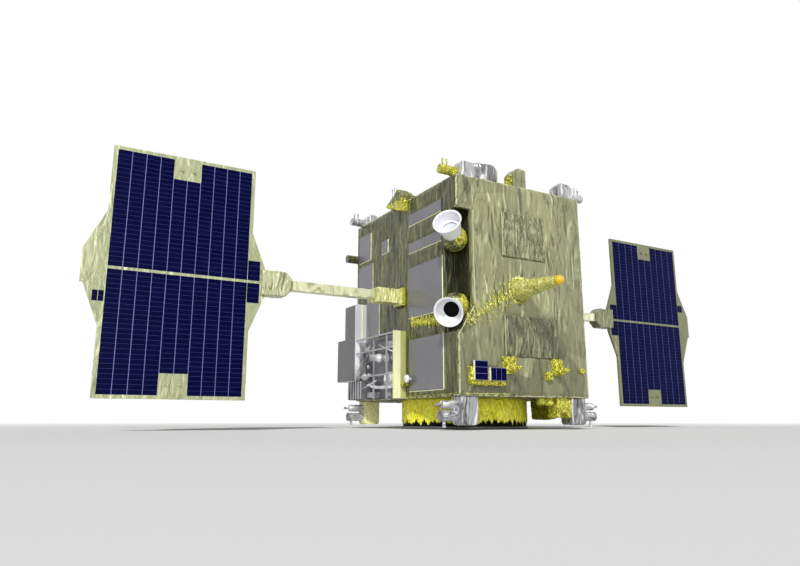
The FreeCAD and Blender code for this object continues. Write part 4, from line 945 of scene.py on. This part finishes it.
def wall_edges():
    """Pale tape along the radiators, the recess's upright edge and the raised blankets, and a pale bead as a
    painted highlight on the recess's sloped edge, as in the photograph.
    """
    y = FRONT - 0.0012
    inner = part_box("recess_lining")[1].x
    # A pale bead along the recess's sloped edge: painted highlight on the edge
    bead("recess_slope_highlight", [(LEFT + 0.002, y, 0.575), (inner + 0.003, y, 0.758)], 0.006, "edge")
    bead("recess_edge", [(inner + 0.004, y, 0.762), (inner + 0.004, y, 1.38)], 0.009, "tape")
    x = LEFT - 0.0012
    for at, (low, high) in enumerate(islands("radiators_left")):
        foot, side = low.z - 0.003, low.y - 0.003
        bead(f"strip_edge_{at}", [(x, low.y, foot), (x, high.y, foot)], 0.007, "edge", -X)
        if high.z - low.z > 0.2:
            bead(f"plate_edge_{at}", [(x, side, low.z), (x, side, high.z + 0.01)], 0.008, "edge", -X)
    for at, (low, high) in enumerate(islands("radiators_back_left")):
        foot, side = low.z - 0.003, low.y - 0.003
        bead(f"column_edge_{at}", [(x, side, high.z), (x, side, foot), (x, high.y, foot)], 0.007, "edge", -X)
    for at, (low, high) in enumerate(islands("blanket_patches")):
        foot, side = low.z - 0.002, low.x - 0.002
        bead(f"patch_side_{at}", [(side, low.y, high.z), (side, low.y, low.z)], 0.006, "tape")
        # The foot of each patch is a line in the darker copy: painted shade under its lower edge
        bead(f"patch_foot_{at}", [(low.x, low.y, foot), (high.x, low.y, foot)], 0.007, "patch_painted_shade",
             wobble=0.0025)
    x = RIGHT + 0.0012
    for at, (low, high) in enumerate(islands("radiators_right")):
        foot, near, far = low.z - 0.003, low.y - 0.003, high.y + 0.003
        bead(f"right_plate_edge_{at}", [(x, near, high.z), (x, near, foot), (x, far, foot), (x, far, high.z)],
             0.007, "edge", X)


# The instrument bay

def bay():
    rail_low, rail_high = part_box("bay_frame")
    blocks("bay_back_plate", [((LEFT - 0.005, rail_low.y + 0.002, BOTTOM + 0.004),
                               (LEFT - 0.0006, rail_high.y - 0.002, rail_high.z + 0.004))],
           0.001, "bay_plate")
    cameras()

    # Chrome lumps beside the channel, the wrapped run along the low rail, and light units behind the frame
    lump = (0.7, 0), (0.75, 0.5), (1, 0.8), (0.96, 1.2), (0.7, 1.6), (0.3, 1.78), (0, 1.8)
    work = bmesh.new()
    for y, z, size in ((0.478, 0.372, 0.034), (0.486, 0.300, 0.040), (0.440, 0.385, 0.018),
                       (0.455, 0.452, 0.016)):
        lathe(work, (LEFT - 0.006, y, z), (-1, 0, 0.1), lump, 28, (size, size))
    made("bay_lumps", work, "chrome")
    work = bmesh.new()
    soft_tube(work, [(-0.602, 0.34, 0.312), (-0.597, 0.25, 0.292), (-0.600, 0.16, 0.286),
                     (-0.596, 0.02, 0.284), (-0.599, -0.048, 0.304)], 0.011, 0.005, 14)
    made("bay_harness", work, "chrome", False)
    blocks("bay_units", [
        ((LEFT - deep, y, z), (LEFT - 0.004, y + wide, z + tall)) for y, z, tall, deep, wide in (
            (0.40, 0.50, 0.10, 0.05, 0.07), (0.30, 0.22, 0.04, 0.06, 0.10), (0.06, 0.56, 0.05, 0.03, 0.09),
            (0.06, 0.225, 0.03, 0.05, 0.06))], 0.004, "light_metal")

    # Light rods across the frame
    work = bmesh.new()
    x = rail_low.x + 0.005
    for (y, z), (y_end, z_end) in (((0.50, 0.42), (0.30, 0.60)), ((-0.05, 0.52), (0.16, 0.585)),
                                   ((0.20, 0.335), (0.50, 0.27))):
        tube(work, (x, y, z), (x, y_end, z_end), 0.0035, 12)
    made("bay_rods", work, "rail")

    # The channel's pale tape, strip and plate, and the ribs on the low box
    low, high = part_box("bay_wall_back")
    y, middle = low.y - 0.0015, (low.x + high.x) / 2 + 0.006
    bead("channel_tape", [(middle, y, low.z + 0.31), (middle, y, high.z - 0.004)], 0.012, "edge")
    thin = 0.0015
    for name, start, end, rise, top, material in (
        ("channel_strip", low.x + 0.001, low.x + 0.034, 0.006, 0.31, "white"),
        ("channel_plate", low.x + 0.038, high.x - 0.006, 0.0045, 0.29, "light_metal"),
    ):
        blocks(name, [((start, low.y - rise, low.z + 0.004), (end, low.y - 0.0006, low.z + top))], thin,
               material)
    low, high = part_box("ribbed_box")
    ribs = [low.y + (high.y - low.y) * (rib + 0.5) / 6 for rib in range(6)]
    blocks("box_ribs", [((low.x - 0.006, y - 0.009, low.z + 0.004),
                         (low.x - 0.0004, y + 0.009, high.z - 0.004)) for y in ribs], thin, "light_metal")


def cameras():
    """The long camera with its dark cap and rings, and the short round one below it. Each profile is in
    shares of the CAD barrel's radius and reach."""
    long_box, disc_box = islands("bay_cameras")
    sleeve_start = 0.001 / (disc_box[1].x - disc_box[0].x)
    for name, (low, high), material, segments, slot, node, profile in (
        ("bay_camera_long", long_box, "chrome", 40, "silver_foil", "bay_cameras", [
            (0.8, 0), (0.8, 0.1), (1, 0.12), (1, 0.2), (0.66, 0.22), (0.66, 0.36), (0.9, 0.38), (0.9, 0.5),
            (0.7, 0.53), (0.7, 0.72), (0.78, 0.74), (0.78, 0.9), (1, 0.92), (1, 0.985), (0.9, 1), (0.72, 1),
            (0.68, 0.93), (0, 0.93)]),
        ("bay_camera_cap", long_box, "dark_metal", 40, "dark_metal", None, [
            (1.004, 0.915), (1.03, 0.92), (1.03, 0.99), (0.92, 1.002), (0.7, 1.002), (0.67, 0.94),
            (0, 0.94)]),
        ("bay_camera_disc", disc_box, "white", 44, "silver_foil", "bay_cameras", [
            (0.5, 0), (0.5, 0.5), (1, 0.52), (1, 0.9), (0.95, 1), (0.8, 1), (0.78, 0.96), (0, 0.96)]),
        ("bay_disc_sleeve", disc_box, "edge", 44, "pale_blanket", None, [
            (0.72, sleeve_start), (0.72, 0.3), (1.02, 0.34), (1.02, 0.62), (0.98, 0.66)]),
    ):
        turned(name, (LEFT - 0.0008, (low.y + high.y) / 2, (low.z + high.z) / 2), -X, profile, segments,
               material, node=node, size=((high.z - low.z) / 2, high.x - low.x))


def bay_wall():
    """The greener film on the front of the bay's end wall, and the white puck on its stem beside it."""
    low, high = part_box("bay_wall_front")
    wide = (high.x - low.x) * 0.46
    hanging("bay_wall_film", "front", (high.x - wide, low.y, low.z), wide, high.z - low.z, "pale_green", 18,
            depth=0.004, fold=12, tall=0.15)
    low, high = islands("sun_eyes")[0]
    stem, disc = 0.008, 0.027
    turned("side_puck", (LEFT - 0.0006, low.y - disc, high.z + 0.004), -X, [
        (stem, 0), (stem, 0.6), (disc, 0.64), (disc, 0.9), (disc * 0.9, 1), (0, 1)],
        32, "white", size=(1, high.x - low.x))


# The flat dish on the back wall

def dish():
    """Ring grooves, radial seams, rim clips and back struts of the dish."""
    low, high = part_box("dish_antenna")
    centre = Vector(((low.x + high.x) / 2, BACK, (low.z + high.z) / 2))
    radius, rim, hub, crown, groove = (high.x - low.x) / 2, 0.014, 0.130, 0.0022, 0.004
    face = high.y - BACK - rim
    inner = radius - rim - 0.002
    profile = [(inner, face + 0.0003), (inner - 0.002, face + crown)]
    for share in (0.82, 0.56, 0.30):
        middle = radius * share
        profile += [(middle + groove, face + crown), (middle, face + 0.0006), (middle - groove, face + crown)]
    turned("dish_face", centre, Y, profile + [(0, face + crown + 0.001)], 120, "white", False)
    work = bmesh.new()
    for count, middle, length in ((12, (inner + 0.30 * radius) / 2, inner - 0.31 * radius),
                                  (6, 0.16 * radius, 0.26 * radius)):
        spokes(work, centre, count, middle, (0.006, 0.0014, length), face + crown)
    lathe(work, centre + Y * face, Y, [(0.016, crown), (0.016, 0.008), (0.011, 0.011), (0, 0.012)], 32)
    made("dish_seams", work, "white_inside", False)
    work = bmesh.new()
    spokes(work, centre, 24, radius - rim / 2, (0.020, 0.0035, rim + 0.004), face + rim + 0.0012)
    made("dish_clips", work, "rail", False)
    work = bmesh.new()
    gap, foot, seat = 0.0475, 1.2 * hub, 0.84 * radius
    for way in circle(24, X, Z)[1::2]:
        top = centre + way * seat + Y * gap
        tube(work, centre + way * foot + Y * 0.010, top - Y * 0.006, 0.006, 14)
        lathe(work, top - Y * 0.012, Y, [(0, 0), (0.014, 0), (0.014, 0.0115)], 20)
    made("dish_struts", work, "light_metal")


# Thrusters

def thruster_ends():
    """Recessed ends, clamp rings, sleeves and small lines on the thrusters under the corners."""
    for corner in ("front_left", "front_right", "back_left", "back_right"):
        lower, upper = sorted(islands("thrusters_" + corner), key=lambda pair: pair[0].z)
        way = -1 if lower[0].x < 0 else 1
        y = (lower[0].y + lower[1].y) / 2
        radius, high_radius = ((high.y - low.y) / 2 for low, high in (lower, upper))
        z, high_z = lower[1].z - radius, (upper[0].z + upper[1].z) / 2
        root, end = sorted((lower[0].x, lower[1].x), key=abs)
        tip = max(upper[0].x, upper[1].x, key=abs)
        work = bmesh.new()
        lathe(work, (end - way * 0.004, y, z), X * way, [
            (1.002, 0), (1.05, 0.001), (1.05, 0.007), (0.9, 0.009), (0.82, 0.009), (0.8, 0.0055),
            (0, 0.0055)], 36, (radius, 1))
        lathe(work, (tip - way * 0.0005, y, high_z), X * way, [(high_radius * 0.28, 0), (0, 0.0008)], 24)
        made("thruster_ends_" + corner, work, "nozzle_end")
        work = bmesh.new()
        for along, swell, wide in ((0.012, 1.14, 0.008), (0.05, 1.09, 0.005), (0.085, 1.09, 0.005)):
            lathe(work, (root + way * along, y, z), X * way, [
                (0.99, 0), (swell, 0.001), (swell, wide), (0.99, wide + 0.001)], 36, (radius, 1))
        lathe(work, (root, y, high_z), X * way, [
            (1, 0.004), (0.98, 0.006), (0.98, 0.1), (0.93, 0.109), (0.7, 0.1115), (0, 0.1115)],
            36, (high_radius, 1))
        tube(work, (root + way * 0.03, y - radius * 0.7, z + radius * 0.8),
             (root + way * 0.03, y - radius * 0.5, high_z - high_radius * 0.7), 0.003, 10)
        made("thruster_rings_" + corner, work, "nozzle")


# Booms and the cells on the front wall

def sleeve(name, start, end, low, high, material, body, depth, seed):
    """Film round a straight arm along X, from start to end: its section is from low to high (Y, Z)."""
    count = 9
    corners = [Vector((0, y, z)) for y, z in (low, (high[0], low[1]), high, (low[0], high[1]))]
    section = [first.lerp(second, step / count) for first, second in zip(corners, corners[1:] + corners[:1])
               for step in range(count)]
    middle = (corners[0] + corners[2]) / 2
    steps = round(abs(end - start) / 0.007)
    work = bmesh.new()
    rings = []
    for step in range(steps + 1):
        x = start + (end - start) * step / steps
        rim = min(1.0, min(step, steps - step) / 3)
        ring = []
        for spot in section:
            push = 0.0008 + depth * rim * (0.5 + 0.5 * crush(spot * 0.6 + X * x, 30, seed))
            ring.append(work.verts.new(spot + X * x + (spot - middle).normalized() * push))
        rings.append(ring)
    skin(work, rings)
    bmesh.ops.recalc_face_normals(work, faces=work.faces)
    made(name, work, material, False, body=body)


def arms():
    for side, way in (("left", -1), ("right", 1)):
        low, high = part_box(side + "_boom")
        sleeve(side + "_boom_film", way * 0.815, way * 1.34, low.yz, (-low.y, high.z), "boom", side + "_arm",
               0.0011, 71 + way)
        low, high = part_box(side + "_root")
        sleeve(side + "_collar_film", way * 0.5272, way * 0.552, low.yz, high.yz, "gold", "spacecraft",
               0.007, 75 + way)


def coupons():
    """The two cells on the front wall: pale frames, dark cells, light bands across one and down the other."""
    rim, gap = 0.0012, 0.0014
    for at, ((low, high), (across, up)) in enumerate(zip(islands("cell_coupons"), ((1, 3), (3, 1)))):
        wide, tall = (high.x - low.x - 2 * rim) / across, (high.z - low.z - 2 * rim) / up
        corners = [(low.x + rim + wide * column, low.z + rim + tall * row)
                   for column in range(across) for row in range(up)]
        blocks(f"coupon_cells_{at}", [((x + gap, low.y - 0.0014, z + gap),
                                       (x + wide - gap, low.y - 0.0004, z + tall - gap)) for x, z in corners],
               0.0003, "cell")
        blocks(f"coupon_side_{at}", [((low.x - 0.005, low.y - 0.001, low.z - 0.001),
                                      (low.x - 0.0005, high.y, high.z + 0.001))], 0.001, "edge")


# Wings

def solar_cells(side, strings):
    """One small plate for each cell, on the strings of the wing, and the light lines between the strings."""
    row, gap, rise, reach = 0.0285, 0.0020, 0.0004, 0.0005
    plates, lines = [], []
    for low, high in islands(side + "_cells"):
        tall = high.z - low.z
        rows = max(1, round(tall / row))
        for at in range(rows):
            foot = low.z + tall * at / rows
            plates.append(((low.x - reach, low.y - rise, foot + gap / 2),
                           (high.x + reach, low.y, foot + tall / rows - gap / 2)))
    for up in (-1, 1):
        half = [pair for pair in strings if (pair[0].z - AXIS) * up > 0]
        face = half[0][1].y
        for (low, high), (after, last) in zip(half, half[1:]):
            lines.append(((high.x + reach, face - 0.0007, max(low.z, after.z)),
                          (after.x - reach, face, min(high.z, last.z))))
    blocks(side + "_cell_plates", plates, 0, "cell", body=side + "_wing")
    blocks(side + "_cell_gaps", lines, 0, "cell_line", body=side + "_wing")


def wing_back(side, way, strings):
    """Edge strips and ribs, wire runs with clamps, diode boards and hold-down seats on the back of a wing."""
    margin, strip, rise, sunk = 0.018, 0.020, 0.003, 0.001
    lows, highs = zip(*strings)
    left, right = min(low.x for low in lows) - margin, max(high.x for high in highs) + margin
    foot, top = min(low.z for low in lows) - margin, max(high.z for high in highs) + margin
    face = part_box(side + "_panel")[1].y
    body = side + "_wing"
    ribs = [((left, face - sunk, z), (right, face + rise, z + strip))
            for z in (foot, top - strip, AXIS - 0.25 - strip / 2, AXIS + 0.25 - strip / 2)]
    ribs += [((x, face - sunk, foot), (x + strip, face + rise * 0.9, top)) for x in (left, right - strip)]
    blocks(body + "_ribs", ribs, 0.001, "edge", body)

    work, clamps = bmesh.new(), bmesh.new()

    def clamp(x, z, half_wide, half_tall, lift, bevel=0.002):
        slab(clamps, (x - half_wide, face - sunk, z - half_tall),
             (x + half_wide, face + lift, z + half_tall), bevel)

    near, far, wire, lift = way * 1.575, way * 2.36, 0.0052, 0.004
    for z in (AXIS - 0.013, AXIS + 0.013):
        soft_tube(work, [(near, face + lift, z), (far, face + lift, z)], wire, 0.001, 10)
    for share in (0.18, 0.5, 0.82):
        x = left + (right - left) * share
        for up in (-1, 1):
            ends = [(x, face + lift, AXIS + up * along) for along in (0.016, 0.62)]
            soft_tube(work, ends, wire * 0.7, 0.0008, 10)
            for at in range(5):
                clamp(x, AXIS + up * (0.09 + 0.12 * at), 0.012, 0.005, 0.0085)
    for at in range(7):
        clamp(near + (far - near) * (at + 0.5) / 7, AXIS, 0.006, 0.026, 0.011)
    made(body + "_wires", work, "light_metal", body=body)
    for at in range(6):
        clamp(near + way * (0.075 + 0.036 * at), AXIS + 0.054, 0.013, 0.018, 0.007, 0.0015)
    middle = (left + right) / 2
    for x, z in ((middle, foot + 0.075), (middle, top - 0.075), (left + 0.10, AXIS - 0.12),
                 (right - 0.10, AXIS - 0.12)):
        lathe(clamps, (x, face - sunk, z), Y, [
            (0.034, 0), (0.034, 0.004), (0.024, 0.006), (0.024, 0.011), (0.013, 0.011), (0.013, 0.004),
            (0, 0.004)], 32)
    made(body + "_fittings", clamps, "rail", False, body=body)


# Floor, light and camera

def stage():
    bpy.ops.mesh.primitive_circle_add(vertices=128, radius=60, fill_type="NGON", location=(0, 0, 0))
    floor = bpy.context.object
    floor.name = "floor"
    tree = surface("floor_paper")
    tree.nodes.remove(tree.nodes["Principled BSDF"])
    paper = tree.add("BsdfDiffuse", "BSDF", {"Color": (0.9, 0.9, 0.9, 1)})
    glow = tree.add("Emission", "Emission", {})
    length = tree.add("VectorMath", "Value", {0: tree.place}, operation="LENGTH")
    mixed = tree.add("MixShader", "Shader", {0: tree.spread(length, 0, 1, 3.0, 12.0), 1: paper, 2: glow})
    tree.feed(tree.nodes["Material Output"].inputs["Surface"], mixed)
    floor.data.materials.append(MATERIALS["floor_paper"])

    # The world is white to the camera, and a dim fill for the rest
    world = bpy.data.worlds.new("studio")
    bpy.context.scene.world = world
    tree = Tree(world)
    rays = tree.add("LightPath", "Is Camera Ray", {}).node.outputs
    seen = tree.math("MAXIMUM", rays["Is Camera Ray"], rays["Is Glossy Ray"])
    seen = tree.math("MAXIMUM", seen, rays["Is Transmission Ray"])
    back = tree.nodes["Background"].inputs
    back["Color"].default_value = (1, 1, 1, 1)
    tree.feed(back["Strength"], tree.spread(seen, 0.2, 1.0))

    # The key lamp, and a weak wide one low in front that reaches under the body
    for name, energy, wide, source in (("key", 2.4, 5, (-0.50, -0.60, 0.62)),
                                       ("fill", 1.05, 40, (-0.30, -0.93, 0.14))):
        sun = bpy.data.lights.new(name, "SUN")
        sun.energy = energy
        sun.angle = math.radians(wide)
        lamp = bpy.data.objects.new(name, sun)
        lamp.rotation_euler = Vector(source).to_track_quat("Z", "Y").to_euler()
        bpy.context.scene.collection.objects.link(lamp)


def camera():
    """The photograph looks up from below, so the camera stands at floor level on the same bearing."""
    lens_pixels, width_pixels, film_width = 645.4, 800, 36
    data = bpy.data.cameras.new("camera")
    data.sensor_width = film_width
    data.lens = film_width * lens_pixels / width_pixels
    item = bpy.data.objects.new("camera", data)
    bpy.context.scene.collection.objects.link(item)
    item.location = (-2.751, -3.922, 0.06)
    heading, pitch = math.radians(29.5), math.radians(12)
    item.rotation_euler = (math.pi / 2 + pitch, 0, -heading)
    bpy.context.scene.camera = item


bpy.context.scene.view_settings.view_transform = "Standard"
camera()
stage()
body_blankets()
seams()
edge_rolls()
films()
loose_film()
ring_film()
skirt_reflection_film()
trackers()
wall_edges()
bay()
bay_wall()
dish()
thruster_ends()
arms()
coupons()
for wing, outward in (("left", -1), ("right", 1)):
    long_strings = [pair for pair in islands(wing + "_cells") if pair[1].z - pair[0].z > 0.2]
    solar_cells(wing, long_strings)
    wing_back(wing, outward, long_strings)
